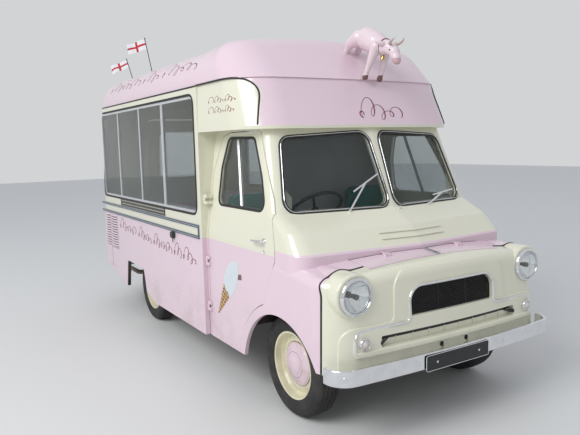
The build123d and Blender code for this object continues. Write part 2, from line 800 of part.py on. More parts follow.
# Rear panel and its door
rear_door_half_width = 350
rear_door_bottom_z = rail_top_z + 60
rear_door_top_z = gutter_z - 120
rear_window_top_z = rear_door_top_z - 140
rear_window = ((-230, 1330), (230, 1330), (230, rear_window_top_z), (-230, rear_window_top_z))
rear_opening = (
    (-rear_door_half_width, rear_door_bottom_z),
    (rear_door_half_width, rear_door_bottom_z),
    (rear_door_half_width, rear_door_top_z),
    (-rear_door_half_width, rear_door_top_z),
)
rear_plane = Plane.YZ.offset(tail_x - 10)
rear_slope = body_sections[1][1] / (gutter_z - skirt_z)
rear_hinge_y = -rear_door_half_width - panel_gap / 2
rear_hinge_offset = 10
rear_hinge_heights = (rear_door_bottom_z + 160, rear_door_bottom_z + 715, rear_door_top_z - 160)
rear_hinge_axis = Vector(rear_slope, 0, 1).normalized()


def rear_hinge_plane(z, shift):
    # local X runs into the vehicle and local Y to its left
    foot = Vector(tail_x + (z - skirt_z) * rear_slope - rear_hinge_offset, rear_hinge_y, z)
    inward = Vector(rear_hinge_axis.Z, 0, -rear_hinge_axis.X)
    return Plane(origin=foot + rear_hinge_axis * shift, x_dir=inward, z_dir=rear_hinge_axis)


with BuildPart() as rear_panel:
    add(body_outer)
    add(body_inner, mode=Mode.SUBTRACT)
    with BuildSketch(Plane.XY):
        with Locations((tail_x, 0)):
            Rectangle(600, 2 * side_split_y)
    extrude(amount=gutter_z, mode=Mode.INTERSECT)
    extrude(outline(Plane.XZ, tail_rise), amount=door_prism_depth, both=True, mode=Mode.SUBTRACT)
    extrude(outline(rear_plane, rear_opening, 40, panel_gap), amount=400, mode=Mode.SUBTRACT)
    for z in rear_hinge_heights:
        with BuildSketch(rear_hinge_plane(z, seat_gap - hinge_knuckle / 2)):
            Circle(hinge_barrel_radius)
            with Locations((rear_hinge_offset / 2 + 1, -18)):
                Rectangle(rear_hinge_offset + 2, 36)
            Circle(hinge_pin_radius, mode=Mode.SUBTRACT)
        extrude(amount=hinge_knuckle - 2 * seat_gap)
        with BuildSketch(rear_hinge_plane(z, -hinge_length / 2)):
            Circle(hinge_pin_radius)
        extrude(amount=hinge_length)
save(rear_panel, "rear_panel")

with BuildPart() as rear_door:
    add(body_outer)
    add(body_inner, mode=Mode.SUBTRACT)
    extrude(outline(rear_plane, rear_opening, 40), amount=400, mode=Mode.INTERSECT)
    extrude(outline(rear_plane, rear_window, 50), amount=400, mode=Mode.SUBTRACT)
    for z in rear_hinge_heights:
        for shift in (-hinge_knuckle, hinge_knuckle):
            with BuildSketch(rear_hinge_plane(z, shift + seat_gap - hinge_knuckle / 2)):
                Circle(hinge_barrel_radius)
                with Locations((rear_hinge_offset / 2 + 1, 18)):
                    Rectangle(rear_hinge_offset + 2, 36)
                Circle(hinge_pin_radius + running_clearance, mode=Mode.SUBTRACT)
            extrude(amount=hinge_knuckle - 2 * seat_gap)
save(rear_door, "rear_door")

with BuildPart() as rear_door_glass:
    add(body_volume(14))
    add(body_volume(20, cab_rear_x + 50), mode=Mode.SUBTRACT)
    extrude(outline(rear_plane, rear_window, 50, -seat_gap), amount=400, mode=Mode.INTERSECT)
save(rear_door_glass, "rear_door_glass")

# Side windows: a frame with upright bars, and the panes between them.
window_frame_width = 22
# columns: share of the window's length from the rear, bar width
window_bars = ((0.238, 26), (0.5, 26), (0.734, 46))
window_bars = [
    (window_rear_x + share * (window_front_x - window_rear_x), width) for share, width in window_bars
]
frame_depth = 24
pane_thickness = 5
track_height = 72
track_depth = 5
with BuildPart() as window_frames:
    for side, sign in mirrored_sides():
        plane = Plane.XZ.offset(-sign * (body_half_width - 6))
        depth = sign * frame_depth
        extrude(outline(plane, side_window, 60, -seat_gap), amount=depth)
        extrude(outline(plane, side_window, 60, -window_frame_width), amount=depth, mode=Mode.SUBTRACT)
        with BuildSketch(plane):
            for x, width in window_bars:
                with Locations((x, (window_bottom_z + window_top_z) / 2)):
                    Rectangle(width, window_top_z - window_bottom_z - window_frame_width)
        extrude(amount=depth)
        with BuildSketch(plane):
            with Locations((window_bars[2][0], (window_bottom_z + window_top_z) / 2)):
                Rectangle(12, window_top_z - window_bottom_z - 2 * window_frame_width)
        extrude(amount=depth / 4, mode=Mode.SUBTRACT)
        # the track under the sliding panes of the hatch
        with BuildSketch(Plane.XZ.offset(-sign * (body_half_width + track_depth))):
            with Locations(((window_bars[0][0] + window_bars[2][0]) / 2, window_bottom_z - track_height / 2 - 1)):
                Rectangle(window_bars[2][0] - window_bars[0][0], track_height)
                for step in (-1, 1):
                    with Locations((0, step * track_height / 5)):
                        Rectangle(window_bars[2][0] - window_bars[0][0] - 30, 8, mode=Mode.SUBTRACT)
        extrude(amount=sign * track_depth)
save(window_frames, "window_frames")

with BuildPart() as side_glass:
    for side, sign in mirrored_sides():
        plane = Plane.XZ.offset(-sign * (body_half_width - 14))
        depth = sign * pane_thickness
        extrude(outline(plane, side_window, 60, -window_frame_width - seat_gap), amount=depth)
        with BuildSketch(plane):
            for x, width in window_bars:
                with Locations((x, (window_bottom_z + window_top_z) / 2)):
                    Rectangle(width + 2 * seat_gap, window_top_z - window_bottom_z)
        extrude(amount=depth, mode=Mode.SUBTRACT)
save(side_glass, "side_glass")

# Ribbed mouldings along the body sides.
moulding_front_x = cab_rear_x - 45
moulding_rear_x = tail_x + 75
moulding_bands = (1012, 1094)
moulding_height = 22
moulding_depth = 8
with BuildPart() as side_mouldings:
    for side, sign in mirrored_sides():
        with BuildSketch(Plane.XZ.offset(-sign * (body_half_width + moulding_depth))) as strips:
            for z in moulding_bands:
                with Locations(((moulding_front_x + moulding_rear_x) / 2, z)):
                    Rectangle(moulding_front_x - moulding_rear_x, moulding_height)
            with Locations((moulding_front_x - 8, sum(moulding_bands) / 2)):
                Rectangle(16, moulding_bands[1] - moulding_bands[0])
        extrude(amount=sign * moulding_depth)
    add(body_outer, mode=Mode.SUBTRACT)
save(side_mouldings, "side_mouldings")

# Chassis: two rails with crossmembers, and hangers for the rear springs.
middle_x = (front_axle_x + rear_axle_x) / 2
crossmember_places = (
    rail_rear_x + 30, rear_axle_x - 659, rear_axle_x + 641, middle_x - 5, front_axle_x - 650, rail_front_x - 30
)
spring_y = half_track - 226
spring_half_length = 480
spring_width = 60
tow_bolt_spacing = 100
tow_bolt_hole = 17
jack_pad_depth = 6
with BuildPart() as chassis_frame:
    with BuildSketch(Plane.XY.offset(rail_bottom_z)):
        for sign in (-1, 1):
            with Locations(((rail_rear_x + rail_front_x) / 2, sign * rail_y)):
                Rectangle(rail_front_x - rail_rear_x, rail_width)
        for x in crossmember_places:
            with Locations((x, 0)):
                Rectangle(60, 2 * rail_y)
    extrude(amount=rail_top_z - rail_bottom_z)
    with BuildSketch(Plane.XY.offset(rail_bottom_z + 20)):
        for end in (-1, 1):
            for sign in (-1, 1):
                with Locations((rear_axle_x + end * spring_half_length, sign * (rail_y + spring_y + 30) / 2)):
                    Rectangle(50, spring_y - rail_y + 30)
    extrude(amount=50)
    # flat pads under the rails for a jack
    with BuildSketch(Plane.XY.offset(rail_bottom_z - jack_pad_depth)):
        with Locations((crossmember_places[4], 0)):
            with GridLocations(0, 2 * rail_y, 1, 2):
                Rectangle(70, rail_width - 6)
    extrude(amount=jack_pad_depth)
    with BuildSketch(Plane.YZ.offset(rail_rear_x)):
        with Locations((0, (rail_bottom_z + rail_top_z) / 2)):
            with GridLocations(tow_bolt_spacing, 0, 2, 1):
                Circle(tow_bolt_hole / 2)
    extrude(amount=60, mode=Mode.SUBTRACT)
save(chassis_frame, "chassis_frame")

# Front suspension: crossmember, wishbones and coil springs.
kingpin_y = half_track - 92
lower_arm_z = tyre_radius - 130
upper_arm_z = tyre_radius + 110
arm_thickness = 25
arm_spread = 110
arm_root_y = rail_y + rail_width / 2
tower_top_z = rail_bottom_z
tower_seat_z = tower_top_z - 30
tower_y = half_track - 210
with BuildPart() as front_crossmember:
    with BuildSketch(Plane.YZ.offset(front_axle_x - 50)):
        with BuildLine():
            Polyline(
                (-tower_y - 54, tower_top_z), (-tower_y - 54, tower_seat_z), (54 - tower_y, tower_seat_z),
                (-arm_root_y, lower_arm_z), (arm_root_y, lower_arm_z), (tower_y - 54, tower_seat_z),
                (tower_y + 54, tower_seat_z), (tower_y + 54, tower_top_z),
                close=True,
            )
        make_face()
    extrude(amount=100)
    with BuildSketch(Plane.XY.offset(lower_arm_z - 5)):
        with Locations((front_axle_x, 0)):
            Rectangle(2 * (arm_spread + 15), 2 * arm_root_y)
    extrude(amount=arm_thickness + 25)
save(front_crossmember, "front_crossmember")

ball_radius = 12
with BuildPart() as wishbones:
    for sign in (-1, 1):
        for z in (lower_arm_z, upper_arm_z):
            with BuildSketch(Plane.XY.offset(z)):
                for spread in (-1, 1):
                    with BuildLine():
                        Line(
                            (front_axle_x, sign * kingpin_y),
                            (front_axle_x + spread * arm_spread, sign * (arm_root_y + seat_gap + 5.5)),
                        )
                    trace(line_width=22)
                with Locations((front_axle_x, sign * kingpin_y)):
                    Circle(26)
                    Circle(ball_radius + running_clearance, mode=Mode.SUBTRACT)
            extrude(amount=arm_thickness)
save(wishbones, "wishbones")

spring_seat_y = tower_y - 6
coil_radius = 38
coil_wire = 6
coil_turns = 4
with BuildPart() as coil_springs:
    base = lower_arm_z + arm_thickness
    top = tower_seat_z
    for sign in (-1, 1):
        with BuildSketch(Plane.XY.offset(base + seat_gap)):
            with Locations((front_axle_x, sign * spring_seat_y)):
                Circle(coil_radius + coil_wire)
                Circle(coil_radius - coil_wire, mode=Mode.SUBTRACT)
        extrude(amount=top - base - 2 * seat_gap)
save(coil_springs, "coil_springs")

# Knuckles: a kingpin post with a spindle and a steering arm on each side.
spindle_radius = 18
spindle_end_y = half_track - 10
post_radius = 16
for side, sign in mirrored_sides():
    with BuildPart() as knuckle:
        with BuildSketch(Plane.XY.offset(lower_arm_z)):
            with Locations((front_axle_x, sign * kingpin_y)):
                Circle(ball_radius)
        extrude(amount=upper_arm_z + arm_thickness - lower_arm_z)
        with BuildSketch(Plane.XY.offset(lower_arm_z + arm_thickness + 1)):
            with Locations((front_axle_x, sign * kingpin_y)):
                Circle(post_radius)
        extrude(amount=upper_arm_z - lower_arm_z - arm_thickness - 2)
        with BuildSketch(Plane.XZ.offset(-sign * kingpin_y)):
            with Locations((front_axle_x, tyre_radius)):
                Circle(spindle_radius)
        extrude(amount=-sign * (spindle_end_y - kingpin_y))
        with BuildSketch(Plane.XY.offset(tyre_radius - 60)):
            with BuildLine():
                Line((front_axle_x, sign * kingpin_y), (front_axle_x - 130, sign * (kingpin_y - 25)))
            trace(line_width=24)
        extrude(amount=16)
    save(knuckle, f"knuckle_{side}")

# Rear axle with its differential, on leaf springs.
axle_tube_radius = 38
hub_inner_y = half_track - 64
with BuildPart() as rear_axle:
    with BuildSketch(Plane.XZ.offset(-hub_inner_y + 6)):
        with Locations((rear_axle_x, tyre_radius)):
            Circle(axle_tube_radius)
    extrude(amount=2 * (hub_inner_y - 6))
    with BuildSketch(Plane.XZ.offset(-spindle_end_y)):
        with Locations((rear_axle_x, tyre_radius)):
            Circle(spindle_radius)
    extrude(amount=2 * spindle_end_y)
    with Locations((rear_axle_x, 0, tyre_radius)):
        Sphere(112)
save(rear_axle, "rear_axle")

leaf_bottom_z = tyre_radius + axle_tube_radius + seat_gap
leaf_thickness = 32
leaf_rise = rail_bottom_z + 20 - leaf_bottom_z - leaf_thickness - seat_gap
with BuildPart() as leaf_springs:
    for sign in (-1, 1):
        with BuildSketch(Plane.XZ.offset(spring_width / 2 - sign * spring_y)):
            with BuildLine():
                ends = (rear_axle_x - spring_half_length, rear_axle_x + spring_half_length)
                low = leaf_bottom_z
                ThreePointArc((ends[0], low + leaf_rise), (rear_axle_x, low), (ends[1], low + leaf_rise))
                Line((ends[1], low + leaf_rise), (ends[1], low + leaf_rise + leaf_thickness))
                ThreePointArc(
                    (ends[1], low + leaf_rise + leaf_thickness),
                    (rear_axle_x, low + leaf_thickness),
                    (ends[0], low + leaf_rise + leaf_thickness),
                )
                Line((ends[0], low + leaf_rise + leaf_thickness), (ends[0], low + leaf_rise))
            make_face()
        extrude(amount=-spring_width)
save(leaf_springs, "leaf_springs")

# Engine: one plain block at its place between the seats.
engine_top_z = rail_top_z + 360
with BuildPart() as engine:
    with BuildSketch(Plane.XY.offset(tower_top_z + seat_gap)):
        with Locations((front_axle_x - 50, 0)):
            Rectangle(640, 400)
    extrude(amount=engine_top_z - tower_top_z - seat_gap)
save(engine, "engine")

# Fuel tank and exhaust
with BuildPart() as fuel_tank:
    with BuildSketch(Plane.XY.offset(rail_top_z - 210)):
        with Locations((middle_x - 155, half_track - 86)):
            Rectangle(620, 380)
    extrude(amount=210)
    fillet(fuel_tank.edges().filter_by(Axis.Z), 30)
save(fuel_tank, "fuel_tank")

exhaust_radius = 24
silencer_radius = 70
pipe_y = -240
pipe_z = rail_bottom_z - 100
tail_pipe_y = -half_track + 46
tail_pipe_z = rail_bottom_z - 82
over_axle_z = rail_bottom_z + 30
with BuildPart() as exhaust:
    with BuildLine() as route:
        FilletPolyline(
            (front_axle_x - 300, pipe_y, rail_bottom_z),
            (front_axle_x - 400, pipe_y, pipe_z),
            (rear_axle_x + 591, pipe_y, pipe_z),
            (rear_axle_x + 291, pipe_y, over_axle_z),
            (rear_axle_x - 259, pipe_y, over_axle_z),
            (rear_axle_x - 519, pipe_y - 60, tail_pipe_z),
            (rear_axle_x - 809, tail_pipe_y, tail_pipe_z),
            (tail_x + 50, tail_pipe_y, tail_pipe_z),
            radius=60,
        )
    with BuildSketch(Plane(origin=route.line @ 0, z_dir=route.line % 0)):
        Circle(exhaust_radius)
    sweep()
    with BuildSketch(Plane.YZ.offset(middle_x + 45)):
        with Locations((pipe_y, pipe_z)):
            Circle(silencer_radius)
    extrude(amount=520)
    chamfer(exhaust.edges().filter_by(GeomType.CIRCLE).filter_by(lambda edge: edge.radius == silencer_radius), 14)
    with BuildSketch(Plane.XY.offset(pipe_z)):
        for x in (crossmember_places[2], crossmember_places[4]):
            with Locations((x, pipe_y)):
                Rectangle(30, 6)
    extrude(amount=rail_bottom_z - seat_gap - pipe_z)
save(exhaust, "exhaust")

# Cab floor with the front wheel arches, the engine cover and the firewall.
floor_z = rail_top_z
floor_thickness = 20
well_inner_y = half_track - 261
well_outer_y = cab_half_width - 40
well_rear_x = front_axle_x - 370
well_front_x = front_axle_x + 410
well_top_z = 2 * tyre_radius + 60
cover_half_width = 255
cover_rear_x = front_axle_x - 400
cover_front_x = front_axle_x + 350
cover_top_z = engine_top_z + 70
firewall_x = front_axle_x + 202
firewall_half_width = cab_half_width - 42
sheet = 18
with BuildPart() as cab_floor:
    with BuildSketch(Plane.XY.offset(floor_z)):
        with Locations(((cab_rear_x + well_rear_x) / 2, 0)):
            Rectangle(well_rear_x - cab_rear_x, 2 * well_outer_y)
    extrude(amount=floor_thickness)
    for sign in (-1, 1):
        with BuildSketch(Plane.XY.offset(well_top_z - sheet)):
            with Locations(((well_rear_x + well_front_x) / 2, sign * (well_inner_y + well_outer_y) / 2)):
                Rectangle(well_front_x - well_rear_x, well_outer_y - well_inner_y)
        extrude(amount=sheet)
        with BuildSketch(Plane.XY.offset(floor_z)):
            with Locations(((well_rear_x + well_front_x) / 2, sign * (well_inner_y - sheet / 2))):
                Rectangle(well_front_x - well_rear_x, sheet)
            with Locations((well_rear_x + sheet / 2, sign * (well_inner_y + well_outer_y) / 2)):
                Rectangle(sheet, well_outer_y - well_inner_y)
            with Locations((well_front_x - sheet / 2, sign * (well_inner_y + well_outer_y) / 2)):
                Rectangle(sheet, well_outer_y - well_inner_y)
        extrude(amount=well_top_z - floor_z)
        with BuildSketch(Plane.XY.offset(floor_z)):
            with Locations(((well_rear_x + firewall_x) / 2, sign * (cover_half_width + well_inner_y) / 2)):
                Rectangle(firewall_x - well_rear_x, well_inner_y - cover_half_width)
        extrude(amount=floor_thickness)
    with BuildSketch(Plane.XY.offset(floor_z)):
        with Locations(((cover_rear_x + firewall_x) / 2, 0)):
            Rectangle(firewall_x - cover_rear_x, 2 * cover_half_width)
    extrude(amount=cover_top_z - floor_z)
    # the firewall, stepped in where the cab's front corners are rounded
    with BuildSketch(Plane.YZ.offset(firewall_x)):
        for half, low, high in ((firewall_half_width, floor_z, 888), (firewall_half_width - 90, 880, 1000)):
            with Locations((0, (low + high) / 2)):
                Rectangle(2 * half, high - low)
    extrude(amount=sheet)
    with BuildSketch(Plane.XY.offset(floor_z - 1)):
        with Locations(((cover_rear_x + sheet + cover_front_x) / 2, 0)):
            Rectangle(cover_front_x - cover_rear_x - sheet, 2 * (cover_half_width - sheet))
    extrude(amount=cover_top_z - sheet - floor_z + 1, mode=Mode.SUBTRACT)
    for sign in (-1, 1):
        with BuildSketch(Plane.XY.offset(floor_z - 1)):
            with Locations(((well_rear_x + well_front_x) / 2, sign * (well_inner_y + body_half_width) / 2)):
                Rectangle(well_front_x - well_rear_x - 2 * sheet, body_half_width - well_inner_y)
        extrude(amount=well_top_z - sheet - floor_z + 1, mode=Mode.SUBTRACT)
save(cab_floor, "cab_floor")

# Floor of the serving body with its rear wheel boxes.
body_floor_thickness = 28
rear_well_half = 380
rear_well_inner_y = half_track - 126
rear_well_top_z = 2 * tyre_radius + 60
inner_half = body_half_width - body_wall - seat_gap
well_reach = body_half_width + 50
with BuildPart() as body_floor:
    with BuildSketch(Plane.XY.offset(floor_z)):
        with Locations(((cab_rear_x + tail_x + 100) / 2 - 1, 0)):
            Rectangle(cab_rear_x - tail_x - 102, 2 * inner_half)
    extrude(amount=body_floor_thickness)
    fillet(body_floor.edges().filter_by(Axis.Z).group_by(Axis.X)[0], 100)
    for sign in (-1, 1):
        with BuildSketch(Plane.XY.offset(floor_z)):
            with Locations((rear_axle_x, sign * (rear_well_inner_y + inner_half) / 2)):
                Rectangle(2 * rear_well_half, inner_half - rear_well_inner_y)
        extrude(amount=rear_well_top_z - floor_z)
        with BuildSketch(Plane.XY.offset(floor_z - 1)):
            with Locations((rear_axle_x, sign * (rear_well_inner_y + sheet + well_reach) / 2)):
                Rectangle(2 * (rear_well_half - sheet), well_reach - rear_well_inner_y - sheet)
        extrude(amount=rear_well_top_z - sheet - floor_z + 1, mode=Mode.SUBTRACT)
save(body_floor, "body_floor")

# Cabinets along both sides, and the partition behind the seats.
cabinet_top_z = window_bottom_z - 55
cabinet_rear_x = tail_x + 250
cabinet_front_x = cab_rear_x - 265
cabinet_depth = 350
with BuildPart() as cabinets:
    base = floor_z + body_floor_thickness + seat_gap
    for sign in (-1, 1):
        with BuildSketch(Plane.XY.offset(base)):
            with Locations(((cabinet_rear_x + cabinet_front_x) / 2, sign * (body_half_width - 45 - cabinet_depth / 2))):
                Rectangle(cabinet_front_x - cabinet_rear_x, cabinet_depth)
        extrude(amount=cabinet_top_z - base)
        with BuildSketch(Plane.XY.offset(floor_z)):
            with Locations((rear_axle_x, sign * (rear_well_inner_y - seat_gap + well_reach) / 2)):
                Rectangle(2 * (rear_well_half + seat_gap), well_reach - rear_well_inner_y + seat_gap)
        extrude(amount=rear_well_top_z + seat_gap - floor_z, mode=Mode.SUBTRACT)
save(cabinets, "cabinets")

partition_edge_y = (-320, body_half_width - 40)
partition_top_z = gutter_z - 30
with BuildPart() as cab_partition:
    base = floor_z + body_floor_thickness + seat_gap
    with BuildSketch(Plane.YZ.offset(cab_rear_x - 65)):
        with Locations((sum(partition_edge_y) / 2, (base + partition_top_z) / 2)):
            Rectangle(partition_edge_y[1] - partition_edge_y[0], partition_top_z - base)
    extrude(amount=24)
save(cab_partition, "cab_partition")

# Seats: a base and a back on each side of the engine cover.
seat_y = cab_half_width - 337
seat_width = 450
# columns: ahead of the cab's rear, height above the seat's foot
seat_profile = (
    (135, 0), (555, 0), (565, 340), (525, 380), (225, 360), (175, 810), (95, 820), (75, 800), (95, 280)
)
with BuildPart() as seats:
    base = floor_z + floor_thickness + seat_gap
    for sign in (-1, 1):
        with BuildSketch(Plane.XZ.offset(seat_width / 2 - sign * seat_y)):
            with BuildLine():
                Polyline(*[(cab_rear_x + x, base + z) for x, z in seat_profile], close=True)
            make_face()
        extrude(amount=-seat_width)
save(seats, "seats")

# Dashboard, steering column and wheel
with BuildPart() as dashboard:
    with BuildSketch(Plane.XZ):
        with BuildLine():
            Polyline(
                (front_axle_x - 50, 1130), (front_axle_x - 50, 1205), (front_axle_x - 5, 1225),
                (firewall_x, 1090), (firewall_x, 1020), (front_axle_x + 50, 1090),
                close=True,
            )
        make_face()
    extrude(amount=cab_half_width - 62, both=True)
    add(cab_volume(cab_wall + seat_gap), mode=Mode.INTERSECT)
save(dashboard, "dashboard")

column_y = -400
column_foot = (front_axle_x + 158, well_top_z + 54)
wheel_centre = (front_axle_x - 250, column_foot[1] + 486)
column_radius = 20
shaft_radius = 9
direction = Vector(wheel_centre[0] - column_foot[0], 0, wheel_centre[1] - column_foot[1]).normalized()
column_plane = Plane(origin=(column_foot[0], column_y, column_foot[1]), z_dir=direction)
column_length = (Vector(*wheel_centre) - Vector(*column_foot)).length
with BuildPart() as column_hole:
    with BuildSketch(column_plane):
        Circle(shaft_radius + running_clearance)
    extrude(amount=column_length)
column_bore = column_hole.part
with BuildPart() as steering_column:
    with BuildSketch(column_plane):
        Circle(column_radius)
    extrude(amount=column_length - 30)
    with BuildSketch(Plane.XY.offset(well_top_z + seat_gap)):
        with Locations((column_foot[0], column_y)):
            Rectangle(60, 60)
    extrude(amount=column_foot[1] - well_top_z)
    add(column_bore, mode=Mode.SUBTRACT)
save(steering_column, "steering_column")

rim_radius = 195
rim_section = 11
with BuildPart() as steering_wheel:
    top_plane = column_plane.offset(column_length)
    with BuildSketch(Plane(origin=top_plane.origin, x_dir=(0, 1, 0), z_dir=top_plane.z_dir.cross(Vector(0, 1, 0)))) as ring:
        with Locations((rim_radius, 0)):
            Circle(rim_section)
    revolve(axis=Axis(top_plane.origin, top_plane.z_dir))
    with BuildSketch(top_plane.offset(-24)):
        Circle(28)
    extrude(amount=30)
    with BuildSketch(top_plane.offset(-12)):
        for angle in (90, 210, 330):
            with Locations(Rotation(0, 0, angle)):
                with Locations((rim_radius / 2, 0)):
                    Rectangle(rim_radius, 18)
    extrude(amount=8)
    with BuildSketch(column_plane):
        Circle(shaft_radius)
    extrude(amount=column_length - 10)
save(steering_wheel, "steering_wheel")

# Marker lamps at the nose and the tail
marker_face_x = front_axle_x + 620
tail_lamp_y = rear_door_half_width + 290
# columns: height, radius
tail_lamps = ((760, 42), (870, 32))
with BuildPart() as marker_lamps:
    for side, sign in mirrored_sides():
        foot = (0, sign * marker_y, marker_z)
        with BuildSketch(Plane(origin=foot, x_dir=(1, 0, 0), z_dir=(0, -1, 0))):
            with BuildLine():
                face, radius = marker_face_x, marker_radius
                Polyline((face - 5, radius - 13), (face - 4, radius - 8), (face - 14, radius), (face - 80, radius))
                Polyline((face - 80, radius), (face - 80, 0), (face + 6, 0))
                ThreePointArc((face + 6, 0), (face + 3.4, (radius - 13) / 2), (face - 5, radius - 13))
            make_face()
        revolve(axis=Axis(foot, (1, 0, 0)))
    with BuildSketch(Plane.YZ.offset(tail_x)):
        for side, sign in mirrored_sides():
            for z, radius in tail_lamps:
                with Locations((sign * tail_lamp_y, z)):
                    Circle(radius)
    extrude(amount=60)
    add(body_outer, mode=Mode.SUBTRACT)
save(marker_lamps, "marker_lamps")

# Wipers: a spindle, an arm and a blade in front of each pane.
# columns: spindle head, near and far end of the blade, each as distance ahead
# of the front axle, y and height
wiper_points = (
    ((50, -330, 1257), (-11, -258, 1366), (-19, -50, 1472)),
    ((52, 345, 1251), (-14, 443, 1301), (-67, 695, 1325)),
)
with BuildPart() as wipers:
    for points in wiper_points:
        head, near, far = [Vector(front_axle_x + x, y, z) for x, y, z in points]
        # columns: start, end, width, depth
        bars = ((head, (near + far) / 2, 12, 8), (near, far, 10, 14))
        for start, end, width, depth in bars:
            run = end - start
            with BuildSketch(Plane(origin=start, x_dir=run.cross(Vector(0.9, 0, 0.4)), z_dir=run.normalized())):
                Rectangle(width, depth)
            extrude(amount=run.length)
        with BuildSketch(Plane(origin=head + Vector(3, 0, 6), z_dir=(-0.5, 0, -0.86))):
            Circle(9)
        extrude(amount=50)
    add(cab_volume(-seat_gap), mode=Mode.SUBTRACT)
save(wipers, "wipers")

# Wheels: a steel wheel with its drum and hub cap, and a tyre on its rim.
rim_seat = 204
for name, axle_x in (("front", front_axle_x), ("rear", rear_axle_x)):
    for side, sign in mirrored_sides():
        centre = (axle_x, sign * half_track, tyre_radius)
        hub_plane = Plane(origin=centre, x_dir=(0, sign, 0), z_dir=(sign, 0, 0))
        spin = Axis(centre, (0, 1, 0))
        with BuildPart() as wheel:
            with BuildSketch(hub_plane):
                with BuildLine():
                    Polyline(
                        (-72, 212), (-66, 212), (-62, rim_seat), (-38, 202), (-28, 186), (14, 186), (30, 202),
                        (62, rim_seat), (66, 212), (72, 212), (70, 200), (34, 194), (18, 180),
                        (30, 150), (14, 128), (14, 60), (14, spindle_radius + running_clearance),
                        (-62, spindle_radius + running_clearance), (-62, 44), (4, 44), (4, 122),
                        (-62, 122), (-62, 132), (6, 132), (18, 156), (6, 180), (-30, 180), (-42, 196),
                        (-70, 200),
                        close=True,
                    )
                make_face()
            revolve(axis=spin)
            with BuildSketch(hub_plane):
                with BuildLine():
                    Polyline(
                        (14, 0), (60, 0), (60, 30), (54, 60), (50, 62), (49, 80), (36, 125), (24, 140), (14, 128),
                        close=True,
                    )
                make_face()
            revolve(axis=spin)
        save(wheel, f"wheel_{name}_{side}")

        with BuildPart() as tyre:
            with BuildSketch(hub_plane) as section:
                with BuildLine():
                    Polyline(
                        (-60, rim_seat + 2), (-74, 222), (-83, 262), (-76, 304), (-58, 316), (0, tyre_radius),
                        (58, 316), (76, 304), (83, 262), (74, 222), (60, rim_seat + 2), (30, 205), (-38, 205),
                        close=True,
                    )
                make_face()
            revolve(axis=spin)
        save(tyre, f"tyre_{name}_{side}")

# Cow figure leaping over the front edge of the roof, its hooves on the roof skin.
cow_y = 100
# columns along the back: ahead of the front axle, height, radius
cow_back = ((-360, 2425, 46), (-300, 2400, 76), (-210, 2352, 72), (-100, 2297, 46))
# columns: start x, y, z, end x, y, z, start radius, end radius, with x from the front axle
cow_limbs = (
    (-305, -42, 2395, -432, -50, 2436, 38, 20),
    (-428, -50, 2446, -492, -50, 2290, 17, 12),
    (-305, 42, 2395, -432, 50, 2436, 38, 20),
    (-428, 50, 2446, -492, 50, 2290, 17, 12),
    (-145, -40, 2312, -224, -52, 2184, 32, 17),
    (-216, -52, 2200, -296, -52, 2085, 15, 11),
    (-145, 40, 2312, -194, 52, 2184, 32, 17),
    (-190, 52, 2200, -270, 52, 2040, 15, 11),
    (-130, 0, 2317, -25, 0, 2277, 54, 41),
    (-44, 0, 2300, 16, 0, 2192, 44, 27),
    (-60, -14, 2296, -70, -96, 2338, 15, 5),
    (-60, 14, 2296, -70, 96, 2338, 15, 5),
)
with BuildPart() as cow_figure:
    for x, z, radius in cow_back:
        with BuildSketch(Plane(origin=(front_axle_x + x, cow_y, z), z_dir=(0.89, 0, -0.45))):
            Circle(radius)
    loft()
    for x0, y0, z0, x1, y1, z1, r0, r1 in cow_limbs:
        start = Vector(front_axle_x + x0, cow_y + y0, z0)
        run = Vector(x1 - x0, y1 - y0, z1 - z0)
        with Locations(Plane(origin=start + run / 2, z_dir=run.normalized())):
            Cone(r0, r1, run.length)
    add(crowned_roof(-dome_step - seat_gap), mode=Mode.SUBTRACT)
    add(roof_volume(luton_sections, -seat_gap), mode=Mode.SUBTRACT)
save(cow_figure, "cow_figure")

# Two small flags on thin poles clipped to the roof.
pole_radius = 4
pole_y = -590
flag_size = (190, 115)
# columns: foot ahead of the tail, lean of the pole, rise above the roof
flag_poles_table = ((1050, -200, 338), (435, -220, 218))
with BuildPart() as flag_poles:
    for foot, lean, rise in flag_poles_table:
        start = Vector(tail_x + foot, pole_y, roof_top_z - 60)
        run = Vector(tail_x + foot + lean, pole_y, roof_top_z + rise) - start
        with BuildSketch(Plane(origin=start, z_dir=run.normalized())):
            Circle(pole_radius)
        extrude(amount=run.length)
        with BuildSketch(Plane.XY.offset(start.Z)):
            with Locations((start.X, pole_y)):
                Rectangle(48, 24)
        extrude(amount=50)
    add(crowned_roof(-seat_gap), mode=Mode.SUBTRACT)
save(flag_poles, "flag_poles")

with BuildPart() as flags:
    for foot, lean, rise in flag_poles_table:
        start = Vector(tail_x + foot, pole_y, roof_top_z - 60)
        tip = Vector(tail_x + foot + lean, pole_y, roof_top_z + rise)
        along = (tip - start).normalized()
        across = Vector(-along.Z, 0, along.X)
        corner = tip + across * (pole_radius + seat_gap)
        with BuildSketch(Plane(origin=corner, x_dir=across, z_dir=(0, -1, 0))):
            Rectangle(*flag_size, align=(Align.MIN, Align.MAX))
        extrude(amount=2, both=True)
save(flags, "flags")
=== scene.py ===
import bpy
import bmesh
import math
from mathutils import Matrix, Vector
from mathutils.bvhtree import BVHTree


